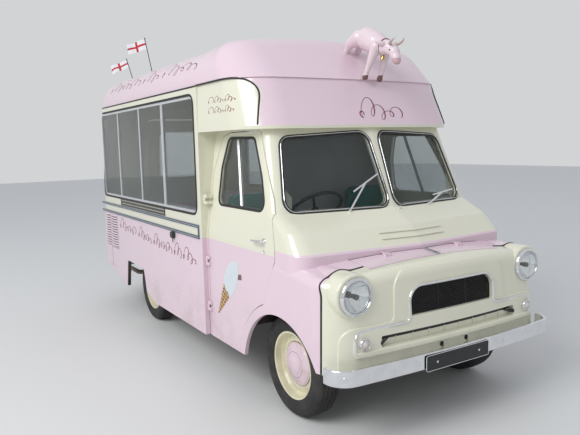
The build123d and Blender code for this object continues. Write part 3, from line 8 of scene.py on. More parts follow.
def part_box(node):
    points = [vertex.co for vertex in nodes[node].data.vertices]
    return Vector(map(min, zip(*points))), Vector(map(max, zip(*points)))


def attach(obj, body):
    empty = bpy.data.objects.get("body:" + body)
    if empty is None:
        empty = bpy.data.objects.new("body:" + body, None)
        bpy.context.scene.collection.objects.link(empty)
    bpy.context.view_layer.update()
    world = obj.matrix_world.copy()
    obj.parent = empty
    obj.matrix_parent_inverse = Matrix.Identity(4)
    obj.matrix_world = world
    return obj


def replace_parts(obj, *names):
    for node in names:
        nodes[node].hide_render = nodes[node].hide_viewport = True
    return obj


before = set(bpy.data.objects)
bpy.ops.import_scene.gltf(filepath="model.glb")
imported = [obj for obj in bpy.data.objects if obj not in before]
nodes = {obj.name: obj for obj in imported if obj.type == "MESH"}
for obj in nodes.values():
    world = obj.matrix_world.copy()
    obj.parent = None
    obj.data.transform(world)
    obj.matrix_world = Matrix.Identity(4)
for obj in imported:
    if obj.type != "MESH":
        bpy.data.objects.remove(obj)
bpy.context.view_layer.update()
print("frame loaded:", len(nodes), "nodes")

# linear colours of the paints, and of the dust on them
colours = {
    "pink": (0.80, 0.625, 0.70),
    "cream": (0.80, 0.785, 0.63),
    "burgundy": (0.20, 0.018, 0.045),
    "rimCream": (0.78, 0.74, 0.52),
    "dust": (0.30, 0.26, 0.20),
}

frontAxleX = 1.550  # the axles, the wheels and the waist, as in the CAD frame
rearAxleX = -1.041
halfTrack = 0.686
wheelRadius = 0.320
waistZ = 1.015
scuttleZ = 1.052
sides = (("right", -1), ("left", 1))

# Camera: fitted to the photograph
cameraFit = {
    "place": (4.618, -2.626, 1.680),
    "yaw": 31.51,
    "pitch": 6.93,
    "roll": -1.39,
    "focalPixels": 601.7,
    "imageWidth": 580,
    "sensor": 36.0,
}


def buildCamera(s):
    yaw, pitch, roll = (math.radians(s[k]) for k in ("yaw", "pitch", "roll"))
    level = math.cos(pitch)
    ahead = Vector((-math.cos(yaw) * level, math.sin(yaw) * level, -math.sin(pitch)))
    right = ahead.cross(Vector((0, 0, 1))).normalized()
    up = right.cross(ahead)
    turned = right * math.cos(roll) + up * math.sin(roll)
    upTurned = up * math.cos(roll) - right * math.sin(roll)
    data = bpy.data.cameras.new("photoCamera")
    data.sensor_width = s["sensor"]
    data.lens = s["focalPixels"] / s["imageWidth"] * s["sensor"]
    data.clip_end = 200
    camera = bpy.data.objects.new("photoCamera", data)
    bpy.context.scene.collection.objects.link(camera)
    basis = Matrix((turned, upTurned, -ahead)).transposed().to_4x4()
    camera.matrix_world = Matrix.Translation(s["place"]) @ basis
    bpy.context.scene.camera = camera


buildCamera(cameraFit)
print("camera placed")


# Shader nodes
def feed(tree, socket, value):
    # a number or a colour is set on the socket, anything else is wired to it
    if isinstance(value, (int, float)):
        socket.default_value = value
    elif isinstance(value, tuple):
        socket.default_value = (*value[:3], 1)
    else:
        tree.links.new(value, socket)


def addNode(tree, kind, **settings):
    node = tree.nodes.new(kind)
    for key, value in settings.items():
        setattr(node, key, value)
    return node


def mathNode(tree, operation, *values):
    node = addNode(tree, "ShaderNodeMath", operation=operation)
    for socket, value in zip(node.inputs, values):
        feed(tree, socket, value)
    return node.outputs[0]


def product(tree, first, *others):
    for value in others:
        first = mathNode(tree, "MULTIPLY", first, value)
    return first


def mixColour(tree, factor, first, second, blend="MIX"):
    node = addNode(tree, "ShaderNodeMix", data_type="RGBA", blend_type=blend)
    for place, value in ((0, factor), (6, first), (7, second)):
        feed(tree, node.inputs[place], value)
    return node.outputs[2]


def objectPlace(tree):
    return addNode(tree, "ShaderNodeTexCoord").outputs["Object"]


def splitPlace(tree, coordinates="Object"):
    # the X, Y and Z of each point, in metres of the shared frame
    split = addNode(tree, "ShaderNodeSeparateXYZ")
    tree.links.new(addNode(tree, "ShaderNodeTexCoord").outputs[coordinates], split.inputs[0])
    return split.outputs


def noise(tree, scale, detail=3.0, rough=0.5):
    node = addNode(tree, "ShaderNodeTexNoise")
    settings = {"Vector": objectPlace(tree), "Scale": scale, "Detail": detail, "Roughness": rough}
    for label, value in settings.items():
        feed(tree, node.inputs[label], value)
    return node.outputs["Fac"]


def mapRange(tree, *values):
    node = addNode(tree, "ShaderNodeMapRange", interpolation_type="SMOOTHSTEP")
    for socket, value in zip(node.inputs, values):
        feed(tree, socket, value)
    return node.outputs[0]


# Shader node groups that the finishes share
def newGroup(name, inputs, outputs):
    tree = bpy.data.node_groups.new(name, "ShaderNodeTree")
    for label, value in inputs.items():
        kind = "NodeSocketColor" if isinstance(value, tuple) else "NodeSocketFloat"
        socket = tree.interface.new_socket(label, in_out="INPUT", socket_type=kind)
        socket.default_value = (*value, 1) if isinstance(value, tuple) else value
    for label in outputs:
        kind = "NodeSocketColor" if label == "Color" else "NodeSocketFloat"
        tree.interface.new_socket(label, in_out="OUTPUT", socket_type=kind)
    return tree, tree.nodes.new("NodeGroupInput").outputs, tree.nodes.new("NodeGroupOutput").inputs


enamelLook = {
    "patches": 2.3,  # scales of the mottling, the gloss, the dust film, the peel and the panel waves
    "grain": 38.0,
    "film": 6.0,
    "peel": 260.0,
    "waves": 5.0,
    "dustFoot": 0.25,
    "glossSpread": 0.12,
    "dustDulls": 0.6,
}


def buildEnamelGroup(s):
    # hand-sprayed enamel: soft mottling, uneven gloss, road dust low down and a faint orange peel
    usual = {"Color": (0.8, 0.8, 0.8), "Mottle": 0.04, "Gloss": 0.22, "Dust": 0.35, "Dust Top": 0.75}
    tree, source, target = newGroup("enamel", usual, ("Color", "Roughness", "Height"))
    shift = mathNode(tree, "ABSOLUTE", mathNode(tree, "SUBTRACT", noise(tree, s["patches"], 4.0), 0.5))
    darker = mixColour(tree, 1.0, source["Color"], (0.80, 0.80, 0.80), "MULTIPLY")
    base = mixColour(tree, product(tree, shift, source["Mottle"], 8.0), source["Color"], darker)
    low = mapRange(tree, splitPlace(tree)["Z"], source["Dust Top"], s["dustFoot"])
    film = mapRange(tree, noise(tree, s["film"], 6.0, 0.65), 0.35, 0.75)
    dust = product(tree, low, film, source["Dust"])
    tree.links.new(mixColour(tree, dust, base, colours["dust"]), target["Color"])
    grain = mathNode(tree, "SUBTRACT", noise(tree, s["grain"]), 0.5)
    gloss = mathNode(tree, "MULTIPLY_ADD", grain, s["glossSpread"], source["Gloss"])
    tree.links.new(mathNode(tree, "MULTIPLY_ADD", dust, s["dustDulls"], gloss), target["Roughness"])
    waves = noise(tree, s["waves"], 1.0)
    tree.links.new(mathNode(tree, "MULTIPLY_ADD", waves, 6.0, noise(tree, s["peel"], 2.0)), target["Height"])
    return tree


def buildSplitGroup():
    # one colour below a height and another above it, with a height of its own ahead of a place along X
    usual = {"Lower": (0.8, 0.6, 0.7), "Upper": (0.8, 0.8, 0.6), "Split Z": 1.0, "Ahead X": 10.0, "Ahead Z": -1.0}
    tree, source, target = newGroup("paintSplit", usual, ("Color",))
    place = splitPlace(tree)
    below = mathNode(tree, "LESS_THAN", place["Z"], source["Split Z"])
    behind = mathNode(tree, "LESS_THAN", place["X"], source["Ahead X"])
    belowAhead = mathNode(tree, "LESS_THAN", place["Z"], source["Ahead Z"])
    ahead = product(tree, belowAhead, mathNode(tree, "SUBTRACT", 1.0, behind))
    mask = mathNode(tree, "MULTIPLY_ADD", below, behind, ahead)
    tree.links.new(mixColour(tree, mask, source["Upper"], source["Lower"]), target["Color"])
    return tree


def buildGrimeGroup():
    # uneven tint and roughness for bare, cast and moulded surfaces
    usual = {"Color": (0.2, 0.2, 0.2), "Second": (0.1, 0.1, 0.1), "Amount": 0.5, "Scale": 12.0,
             "Rough": 0.5, "Rough Spread": 0.2}
    tree, source, target = newGroup("grime", usual, ("Color", "Roughness", "Height"))
    cloud = noise(tree, source["Scale"], 6.0, 0.6)
    mask = product(tree, mapRange(tree, cloud, 0.35, 0.7), source["Amount"])
    tree.links.new(mixColour(tree, mask, source["Color"], source["Second"]), target["Color"])
    spread = product(tree, mathNode(tree, "SUBTRACT", cloud, 0.5), source["Rough Spread"])
    tree.links.new(mathNode(tree, "ADD", source["Rough"], spread), target["Roughness"])
    tree.links.new(noise(tree, 320.0, 2.0), target["Height"])
    return tree


enamelGroup = buildEnamelGroup(enamelLook)
splitGroup = buildSplitGroup()
grimeGroup = buildGrimeGroup()

finishes = {}  # every finish by its name


def placeGroup(tree, group, **values):
    node = addNode(tree, "ShaderNodeGroup", node_tree=group)
    for label, value in values.items():
        feed(tree, node.inputs[label.replace("_", " ")], value)
    return node.outputs


def newMaterial(name, **constants):
    material = finishes[name] = bpy.data.materials.new(name)
    material.use_nodes = True
    shader = material.node_tree.nodes["Principled BSDF"].inputs
    for label, value in constants.items():
        shader[label.replace("_", " ")].default_value = value
    return material.node_tree, shader


def wireBump(tree, shader, height, strength, distance):
    bump = addNode(tree, "ShaderNodeBump")
    for label, value in (("Strength", strength), ("Distance", distance), ("Height", height)):
        feed(tree, bump.inputs[label], value)
    tree.links.new(bump.outputs[0], shader["Normal"])


def wireLook(tree, shader, look):
    tree.links.new(look["Color"], shader["Base Color"])
    tree.links.new(look["Roughness"], shader["Roughness"])


def wireCoat(tree, shader, colour, gloss, dust, dustTop):
    coat = placeGroup(tree, enamelGroup, Color=colour, Gloss=gloss, Dust=dust, Dust_Top=dustTop)
    wireLook(tree, shader, coat)
    wireBump(tree, shader, coat["Height"], 0.12, 0.0004)


def overlay(tree, mask, colour):
    # another colour where the mask is set, over the finish as it stands
    base = tree.nodes["Principled BSDF"].inputs["Base Color"]
    tree.links.new(mixColour(tree, mask, base.links[0].from_socket, colour), base)


def enamel(name, colour, lower=None, aheadX=10.0, aheadZ=-1.0, gloss=0.2, dust=0.35):
    tree, shader = newMaterial(name, Coat_Weight=0.5, Coat_Roughness=0.12)
    if lower:
        colour = placeGroup(tree, splitGroup, Lower=lower, Upper=colour, Split_Z=waistZ,
                            Ahead_X=aheadX, Ahead_Z=aheadZ)["Color"]
    wireCoat(tree, shader, colour, gloss, dust, 0.75)
    return tree


def worn(name, colour, second, metallic, rough, spread, scale, amount, bump):
    tree, shader = newMaterial(name, Metallic=metallic)
    grime = placeGroup(tree, grimeGroup, Color=colour, Second=second, Amount=amount, Scale=scale,
                       Rough=rough, Rough_Spread=spread)
    wireLook(tree, shader, grime)
    wireBump(tree, shader, grime["Height"], bump, 0.0003)


def glazing(name, tint):
    tree, shader = newMaterial(name, Transmission_Weight=1.0, IOR=1.3, Specular_IOR_Level=0.3)
    smeared = tuple(c * 0.85 for c in tint)
    film = placeGroup(tree, grimeGroup, Color=tint, Second=smeared, Scale=3.0, Rough=0.03, Rough_Spread=0.05)
    wireLook(tree, shader, film)


# painted finishes: the colour, then what differs from the usual coat
paints = {
    "pinkPaint": (colours["pink"], {}),
    "creamPaint": (colours["cream"], {}),
    "sidePaint": (colours["cream"], {"lower": colours["pink"]}),
    "cabPaint": (colours["cream"], {"lower": colours["pink"], "aheadX": 0.9, "aheadZ": scuttleZ}),
    "burgundyPaint": (colours["burgundy"], {"dust": 0.1}),
    "hornPaint": ((0.52, 0.40, 0.36), {"dust": 0.0}),
    "icePaint": ((0.68, 0.75, 0.78), {"dust": 0.1}),
    "chocolate": ((0.16, 0.055, 0.04), {"dust": 0.1}),
    "seamBrown": ((0.16, 0.055, 0.04), {"dust": 0.1}),
}

# other finishes, columns: colour, second colour, metallic, roughness, its spread, scale, amount, bump
materials = {
    "chrome": ((0.80, 0.81, 0.83), (0.62, 0.63, 0.65), 1.0, 0.07, 0.10, 18.0, 0.4, 0.05),
    "mirrorBright": ((0.88, 0.89, 0.90), (0.80, 0.81, 0.82), 1.0, 0.04, 0.05, 20.0, 0.4, 0.03),
    "brassBright": ((0.62, 0.45, 0.16), (0.45, 0.31, 0.10), 1.0, 0.2, 0.2, 40.0, 0.5, 0.1),
    "aluminium": ((0.62, 0.64, 0.66), (0.45, 0.46, 0.48), 1.0, 0.32, 0.2, 30.0, 0.5, 0.15),
    "stripMetal": ((0.16, 0.20, 0.26), (0.12, 0.15, 0.20), 0.7, 0.42, 0.2, 25.0, 0.5, 0.2),
    "bulbMetal": ((0.20, 0.19, 0.17), (0.40, 0.38, 0.34), 0.8, 0.3, 0.2, 60.0, 0.5, 0.2),
    "castGrey": ((0.10, 0.10, 0.10), (0.05, 0.04, 0.03), 0.6, 0.6, 0.3, 14.0, 0.7, 0.6),
    "dullSteel": ((0.24, 0.22, 0.20), (0.16, 0.09, 0.05), 0.7, 0.5, 0.3, 12.0, 0.8, 0.4),
    "chassisBlack": ((0.02, 0.02, 0.02), (0.10, 0.085, 0.065), 0.0, 0.6, 0.4, 5.0, 0.7, 0.4),
    "blackMesh": ((0.012, 0.012, 0.013), (0.03, 0.03, 0.03), 0.4, 0.45, 0.2, 30.0, 0.5, 0.3),
    "blackRubber": ((0.012, 0.012, 0.013), (0.03, 0.03, 0.03), 0.0, 0.55, 0.3, 40.0, 0.5, 0.3),
    "tyreRubber": ((0.018, 0.018, 0.019), (0.06, 0.055, 0.05), 0.0, 0.72, 0.3, 9.0, 0.7, 0.5),
    "darkPlastic": ((0.03, 0.03, 0.032), (0.05, 0.05, 0.05), 0.0, 0.4, 0.2, 30.0, 0.4, 0.3),
    "plateBlack": ((0.008, 0.008, 0.009), (0.02, 0.02, 0.02), 0.0, 0.3, 0.2, 25.0, 0.5, 0.15),
    "laminate": ((0.70, 0.71, 0.70), (0.60, 0.61, 0.60), 0.0, 0.35, 0.15, 5.0, 0.4, 0.1),
    "tealCloth": ((0.01, 0.30, 0.26), (0.008, 0.20, 0.18), 0.0, 0.8, 0.2, 10.0, 0.6, 0.8),
}

for name, (colour, coat) in paints.items():
    enamel(name, colour, **coat)
for name, look in materials.items():
    worn(name, *look)
glazing("clearGlass", (0.62, 0.66, 0.66))
glazing("lampGlass", (0.93, 0.95, 0.95))


# Finishes with a drawing of their own
wafer = {
    "slopes": (0.35, 2.6),
    "lines": 34.0,
    "lineShare": 0.34,
    "pale": (0.80, 0.50, 0.10),
    "baked": (0.70, 0.40, 0.07),
    "line": (0.13, 0.04, 0.03),
}


def waferFinish(s):
    # ochre wafer crossed by fine brown lines, laid along the cone
    tree, shader = newMaterial("waferPaint", Coat_Weight=0.5, Coat_Roughness=0.1, Roughness=0.3)
    place = splitPlace(tree)
    lines = []
    for slope in s["slopes"]:
        along = mathNode(tree, "MULTIPLY_ADD", place["X"], slope, place["Z"])
        turns = mathNode(tree, "FRACT", product(tree, along, s["lines"] / math.hypot(slope, 1.0)))
        lines.append(mathNode(tree, "LESS_THAN", turns, s["lineShare"]))
    tint = mixColour(tree, noise(tree, 60.0), s["pale"], s["baked"])
    mask = mathNode(tree, "MAXIMUM", *lines)
    tree.links.new(mixColour(tree, mask, tint, s["line"]), shader["Base Color"])


wheelPaint = {
    "capRadius": 0.1405,
    "drumRadius": 0.134,
    "capOut": 0.0125,
    "rings": ((0.0805, 0.0012), (0.1385, 0.0014)),  # radius and half width
    "ring": (0.12, 0.08, 0.08),
    "drum": (0.03, 0.028, 0.025),
}


def wheelFinish(s, name, axleX):
    # cream wheel, pink cap with two fine rings, dusty drum behind it
    tree, shader = newMaterial(name, Coat_Weight=0.5, Coat_Roughness=0.1)
    place = splitPlace(tree)
    ahead = mathNode(tree, "SUBTRACT", place["X"], axleX)
    above = mathNode(tree, "SUBTRACT", place["Z"], wheelRadius)
    radius = mathNode(tree, "SQRT", mathNode(tree, "ADD", product(tree, ahead, ahead), product(tree, above, above)))
    out = mathNode(tree, "ABSOLUTE", place["Y"])
    capY = halfTrack + s["capOut"]
    outer, inner = (mathNode(tree, test, out, capY) for test in ("GREATER_THAN", "LESS_THAN"))
    inCap = product(tree, outer, mathNode(tree, "LESS_THAN", radius, s["capRadius"]))
    inDrum = product(tree, inner, mathNode(tree, "LESS_THAN", radius, s["drumRadius"]))
    rings = mathNode(tree, "ADD", *[mathNode(tree, "COMPARE", radius, *ring) for ring in s["rings"]])
    paint = mixColour(tree, inCap, colours["rimCream"], colours["pink"])
    paint = mixColour(tree, product(tree, rings, inCap), paint, s["ring"])
    wireCoat(tree, shader, mixColour(tree, inDrum, paint, s["drum"]), 0.24, 0.45, 0.65)


sideLampLook = {
    "amberFromZ": 0.83,
    "red": (0.42, 0.008, 0.008),
    "amber": (0.75, 0.22, 0.01),
    "pearl": ((0.62, 0.55, 0.52), (0.80, 0.76, 0.72)),
}


def sideLampFinish(s):
    # pearly lenses in front; red and amber ones at the tail
    tree, shader = newMaterial("sideLampGlass", Coat_Weight=0.8, Coat_Roughness=0.03)
    place = splitPlace(tree)
    upper = mathNode(tree, "GREATER_THAN", place["Z"], s["amberFromZ"])
    grain = noise(tree, 90.0)
    front = mixColour(tree, grain, *s["pearl"])
    tail = mixColour(tree, upper, s["red"], s["amber"])
    behind = mathNode(tree, "LESS_THAN", place["X"], 0.0)
    tree.links.new(mixColour(tree, behind, front, tail), shader["Base Color"])
    tree.links.new(mapRange(tree, grain, 0.3, 0.7, 0.10, 0.22), shader["Roughness"])
    wireBump(tree, shader, addNode(tree, "ShaderNodeTexWave", wave_type="RINGS").outputs["Fac"], 0.3, 0.0005)


underseal = {"insideY": 0.896, "belowZ": 0.60, "reach": 0.60, "black": (0.02, 0.02, 0.02)}


def bodyFinish(s):
    # two-tone enamel, with black underseal on the returned edge of the rear arch
    tree = enamel("bodyPaint", colours["cream"], lower=colours["pink"])
    place = splitPlace(tree)
    inner = mathNode(tree, "LESS_THAN", mathNode(tree, "ABSOLUTE", place["Y"]), s["insideY"])
    low = mathNode(tree, "LESS_THAN", place["Z"], s["belowZ"])
    near = mathNode(tree, "COMPARE", place["X"], rearAxleX, s["reach"])
    overlay(tree, product(tree, inner, low, near), s["black"])


windowChannels = {
    "bright": (0.80, 0.81, 0.82),
    "dull": (0.62, 0.64, 0.66),
    "track": (0.085, 0.078, 0.066),
    "trackTop": 1.186,
}


def frameFinish(s):
    # bright window channels over a dull brown-grey hatch track
    tree, shader = newMaterial("windowMetal", Metallic=0.6)
    grime = placeGroup(tree, grimeGroup, Color=s["bright"], Second=s["dull"], Scale=30.0, Rough=0.34)
    wireLook(tree, shader, grime)
    overlay(tree, mathNode(tree, "LESS_THAN", splitPlace(tree)["Z"], s["trackTop"]), s["track"])


cowLook = {
    "hide": (0.80, 0.66, 0.70),
    "hoofTop": 2.138,
    "hoof": (0.16, 0.07, 0.06),
    "muzzleX": 1.518,
    "muzzleZ": 2.222,
    "muzzle": (0.60, 0.40, 0.42),
}


def cowFinish(s):
    # pale pink enamel with brown hooves and a duller muzzle
    tree = enamel("cowPaint", s["hide"], gloss=0.3, dust=0.0)
    place = splitPlace(tree)
    ahead = mathNode(tree, "GREATER_THAN", place["X"], s["muzzleX"])
    overlay(tree, product(tree, ahead, mathNode(tree, "LESS_THAN", place["Z"], s["muzzleZ"])), s["muzzle"])
    overlay(tree, mathNode(tree, "LESS_THAN", place["Z"], s["hoofTop"]), s["hoof"])


flagLook = {
    "arms": (0.06, 0.10),  # half widths of the cross, as shares of the flag
    "white": ((0.82, 0.82, 0.83), (0.72, 0.72, 0.74)),
    "red": ((0.55, 0.02, 0.03), (0.45, 0.015, 0.02)),
    "weave": 1500.0,
}


def flagFinish(s):
    # woven white cloth with a red cross
    tree, shader = newMaterial("flagCloth", Sheen_Weight=0.3, Roughness=0.85)
    place = splitPlace(tree, "UV")
    arms = [mathNode(tree, "COMPARE", place[axis], 0.5, arm) for axis, arm in zip("XY", s["arms"])]
    cloud = noise(tree, 30.0)
    cross = mathNode(tree, "MAXIMUM", *arms)
    white, red = mixColour(tree, cloud, *s["white"]), mixColour(tree, cloud, *s["red"])
    tree.links.new(mixColour(tree, cross, white, red), shader["Base Color"])
    wireBump(tree, shader, noise(tree, s["weave"], 2.0), 0.4, 0.0002)


waferFinish(wafer)
wheelFinish(wheelPaint, "frontWheelPaint", frontAxleX)
wheelFinish(wheelPaint, "rearWheelPaint", rearAxleX)
sideLampFinish(sideLampLook)
bodyFinish(underseal)
frameFinish(windowChannels)
cowFinish(cowLook)
flagFinish(flagLook)
print("finishes made:", len(finishes))

finishOfNode = {
    "pinkPaint": ("front_wings", "bonnet", "roof"),
    "creamPaint": ("nose_panel", "luton_panels"),
    "bodyPaint": ("body_side_right", "body_side_left"),
    "sidePaint": ("cab_door_right", "cab_door_left", "rear_panel", "rear_door"),
    "cabPaint": ("cab_shell",),
    "chrome": ("front_bumper", "wipers"),
    "windowMetal": ("window_frames",),
    "stripMetal": ("side_mouldings",),
    "frontWheelPaint": ("wheel_front_right", "wheel_front_left"),
    "rearWheelPaint": ("wheel_rear_right", "wheel_rear_left"),
    "chassisBlack": ("chassis_frame", "front_crossmember", "wishbones", "coil_springs", "rear_axle",
                     "leaf_springs", "knuckle_right", "knuckle_left", "fuel_tank", "cab_floor"),
    "castGrey": ("engine",),
    "dullSteel": ("exhaust",),
    "blackMesh": ("grille",),
    "darkPlastic": ("dashboard", "steering_column", "steering_wheel", "flag_poles"),
    "laminate": ("cabinets", "body_floor", "cab_partition"),
    "clearGlass": ("windscreen_glass", "door_glass_right", "door_glass_left", "side_glass", "rear_door_glass"),
    "sideLampGlass": ("marker_lamps",),
}
for finish, names in finishOfNode.items():
    for name in names:
        nodes[name].data.materials.clear()
        nodes[name].data.materials.append(finishes[finish])


# Tools for making pieces
farOut = 3.0  # rays to the skins start this far out


def surfaceOf(*names):
    # a search tree over CAD skins, so that trim can be set down on them
    corners, faces = [], []
    for name in names:
        mesh = nodes[name].data
        start = len(corners)
        corners += [v.co.copy() for v in mesh.vertices]
        faces += [tuple(start + i for i in p.vertices) for p in mesh.polygons]
    return BVHTree.FromPolygons(corners, faces)


def spaced(low, high, count):
    # evenly spaced numbers or points, both ends included
    return [low + (high - low) * (k / count) for k in range(count + 1)]


def resampled(line, step, closed=False):
    # evenly spaced points along a line of any dimension
    line = list(line) + ([line[0]] if closed else [])
    lengths = [(b - a).length for a, b in zip(line, line[1:])]
    total = sum(lengths)
    count = max(3, round(total / step))
    out, walked, place = [], 0.0, 0
    for k in range(count if closed else count + 1):
        target = total * k / count
        while place < len(lengths) - 1 and walked + lengths[place] < target:
            walked += lengths[place]
            place += 1
        share = (target - walked) / lengths[place] if lengths[place] > 1e-9 else 0.0
        out.append(line[place].lerp(line[place + 1], min(max(share, 0.0), 1.0)))
    return out


def roundedPath(corners, step=0.012, closed=False):
    # a line through corners given as (across, up, radius), each one rounded
    line, count, arcSteps = [], len(corners), 8
    for i, (u, v, radius) in enumerate(corners):
        here = Vector((u, v))
        if radius == 0 or (not closed and i in (0, count - 1)):
            line.append(here)
            continue
        before = (Vector(corners[i - 1][:2]) - here).normalized()
        after = (Vector(corners[(i + 1) % count][:2]) - here).normalized()
        half = before.angle(after) / 2
        middle = here + (before + after).normalized() * radius / math.sin(half)
        first = here + before * radius / math.tan(half) - middle
        last = here + after * radius / math.tan(half) - middle
        turn = first.angle(last)
        for share in spaced(0, 1, arcSteps):
            arc = first * math.sin((1 - share) * turn) + last * math.sin(share * turn)
            line.append(middle + arc / math.sin(turn))
    return resampled(line, step, closed)


def smoothed(rows, rounds, closed=False):
    for _ in range(rounds):
        last = len(rows) - 1
        rows = [
            row if not closed and i in (0, last) else (rows[i - 1] + row * 2 + rows[(i + 1) % len(rows)]) / 4
            for i, row in enumerate(rows)
        ]
    return rows


def landed(tree, starts, direction, closed=False, rounds=2):
    # where rays meet the skin, with strays from openings and seams pulled back to their neighbours
    ways = [Vector(d) for d in direction] if isinstance(direction, list) else [Vector(direction)] * len(starts)
    starts = [Vector(start) for start in starts]
    around, stray = 4, 0.012
    depths, normals, count = [], [], len(starts)
    for start, way in zip(starts, ways):
        point, normal, face, distance = tree.ray_cast(start, way)
        if point is None:
            point, normal, face, distance = tree.find_nearest(start + way * 2)
        depths.append((point - start).dot(way))
        normals.append(-normal if normal.dot(way) > 0 else normal)
    for i in range(count):
        near = [j % count if closed else min(max(j, 0), count - 1) for j in range(i - around, i + around + 1)]
        usual = sorted(depths[j] for j in near)[around]
        if abs(depths[i] - usual) > stray:
            depths[i] = usual
            normals[i] = normals[i - 1] if i else -ways[i]
    points = [start + way * depth for start, way, depth in zip(starts, ways, depths)]
    return smoothed(points, rounds, closed), [n.normalized() for n in smoothed(normals, rounds + 2, closed)]


def fromFront(tree, line, closed=False, rounds=2):
    return landed(tree, [(farOut, u, v) for u, v in line], (-1, 0, 0), closed, rounds)


def fromSide(tree, line, sign, closed=False, rounds=2):
    return landed(tree, [(u, farOut * sign, v) for u, v in line], (0, -sign, 0), closed, rounds)


def seatAt(tree, start, direction):
    # one point of a skin, with its outward normal
    points, normals = landed(tree, [start] * 3, direction)
    return points[1], normals[1]


def domed(width, height, steps=6, sunk=0.001):
    # a half-round section, flat on its seat: pairs of (across, out)
    arc = [(width / 2 * math.cos(t), height * math.sin(t)) for t in spaced(0, math.pi, steps)]
    return [(width / 2, -sunk)] + arc + [(-width / 2, -sunk)]


def strip(width, height, sunk=0.001):
    # a flat section with square edges
    return [(width / 2, -sunk), (width / 2, height), (-width / 2, height), (-width / 2, -sunk)]


def bridge(mesh, a, b):
    # faces between two rings, either of which may be a single point
    count = max(len(a), len(b))
    for k in range(count):
        m = (k + 1) % count
        face = list(dict.fromkeys([a[k % len(a)], a[m % len(a)], b[m % len(b)], b[k % len(b)]]))
        if len(face) > 2:
            mesh.faces.new(face)


def skinInto(mesh, rings, closed=False):
    # joins rings along a line, and caps the ends of an open one
    for a, b in zip(rings, rings[1:] + (rings[:1] if closed else [])):
        bridge(mesh, a, b)
    if not closed:
        mesh.faces.new(rings[0])
        mesh.faces.new(rings[-1][::-1])


def sweepInto(mesh, points, normals, section, closed=False, widths=None):
    # carries a section along a line that lies on a surface
    rings, count = [], len(points)
    for i, point in enumerate(points):
        before = points[i - 1] if closed or i else point
        after = points[(i + 1) % count] if closed or i < count - 1 else point
        along = (after - before).normalized()
        out = (normals[i] - along * normals[i].dot(along)).normalized()
        across = along.cross(out) * (widths[i] if widths else 1.0)
        rings.append([mesh.verts.new(point + across * u + out * v) for u, v in section])
    skinInto(mesh, rings, closed)


def ringInto(mesh, centre, side, up, radius, steps):
    turns = [2 * math.pi * k / steps for k in range(steps if radius > 1e-6 else 1)]
    return [mesh.verts.new(centre + (side * math.cos(t) + up * math.sin(t)) * radius) for t in turns]


def spinInto(mesh, section, origin, axis, steps=48, closed=False):
    # a form of revolution: pairs of (along the axis, radius)
    axis = Vector(axis).normalized()
    side = Vector((0, 0, 1)) if abs(axis.z) < 0.9 else Vector((1, 0, 0))
    side = (side - axis * side.dot(axis)).normalized()
    rings = [ringInto(mesh, Vector(origin) + axis * along, side, axis.cross(side), radius, steps)
             for along, radius in section]
    for a, b in zip(rings, rings[1:] + (rings[:1] if closed else [])):
        bridge(mesh, a, b)


def tubeInto(mesh, points, radii, steps=14):
    # a round bar along a line, thicker or thinner as it goes
    rings, last = [], len(points) - 1
    for i, (point, radius) in enumerate(zip(points, radii)):
        along = (points[min(i + 1, last)] - points[max(i - 1, 0)]).normalized()
        side = along.cross(Vector((0, 0, 1)) if abs(along.z) < 0.9 else Vector((1, 0, 0))).normalized()
        rings.append(ringInto(mesh, point, side, side.cross(along), radius, steps))
    for a, b in zip(rings, rings[1:]):
        bridge(mesh, a, b)
    mesh.faces.new(rings[0][::-1])
    mesh.faces.new(rings[-1])


def prismInto(mesh, bottom, top):
    # a solid between two outlines of as many points
    low, high = [mesh.verts.new(p) for p in bottom], [mesh.verts.new(p) for p in top]
    bridge(mesh, low, high)
    for ring in (low[::-1], high):
        cap = mesh.faces.new(ring)
        if len(ring) > 4:
            bmesh.ops.triangulate(mesh, faces=[cap])


def newPiece(name, mesh, finish, body="van", crease=38.0):
    bmesh.ops.recalc_face_normals(mesh, faces=mesh.faces)
    data = bpy.data.meshes.new(name)
    mesh.to_mesh(data)
    mesh.free()
    data.shade_smooth()
    data.set_sharp_from_angle(angle=math.radians(crease))
    data.materials.append(finishes[finish])
    piece = bpy.data.objects.new(name, data)
    bpy.context.scene.collection.objects.link(piece)
    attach(piece, body)
    return piece


def turned(name, section, origin, axis, steps, finish, body="van", closed=False, crease=38.0):
    mesh = bmesh.new()
    spinInto(mesh, section, origin, axis, steps, closed)
    return newPiece(name, mesh, finish, body, crease)


def trim(name, landing, section, finish, body="van", closed=False):
    points, normals = landing
    mesh = bmesh.new()
    sweepInto(mesh, points, normals, section, closed)
    return newPiece(name, mesh, finish, body)


def paintOn(name, tree, outline, spot, finish, body, lift):
    # a skin of paint inside an outline, just proud of the panel
    tops, feet, tuck = [], [], 0.0004
    for u, v in outline:
        start, way = spot(u, v)
        point, normal, face, distance = tree.ray_cast(start, way)
        normal = -normal if normal.dot(way) > 0 else normal
        tops.append(point + normal * lift)
        feet.append(point - normal * tuck)
    mesh = bmesh.new()
    prismInto(mesh, feet, tops)
    return newPiece(name, mesh, finish, body)


noseSkin = surfaceOf("nose_panel", "front_wings")
cabSkin = surfaceOf("cab_shell")
doorSkin = {side: surfaceOf("cab_door_" + side) for side, sign in sides}
bodySkin = surfaceOf("body_side_right", "body_side_left", "roof", "luton_panels")
print("tools ready")


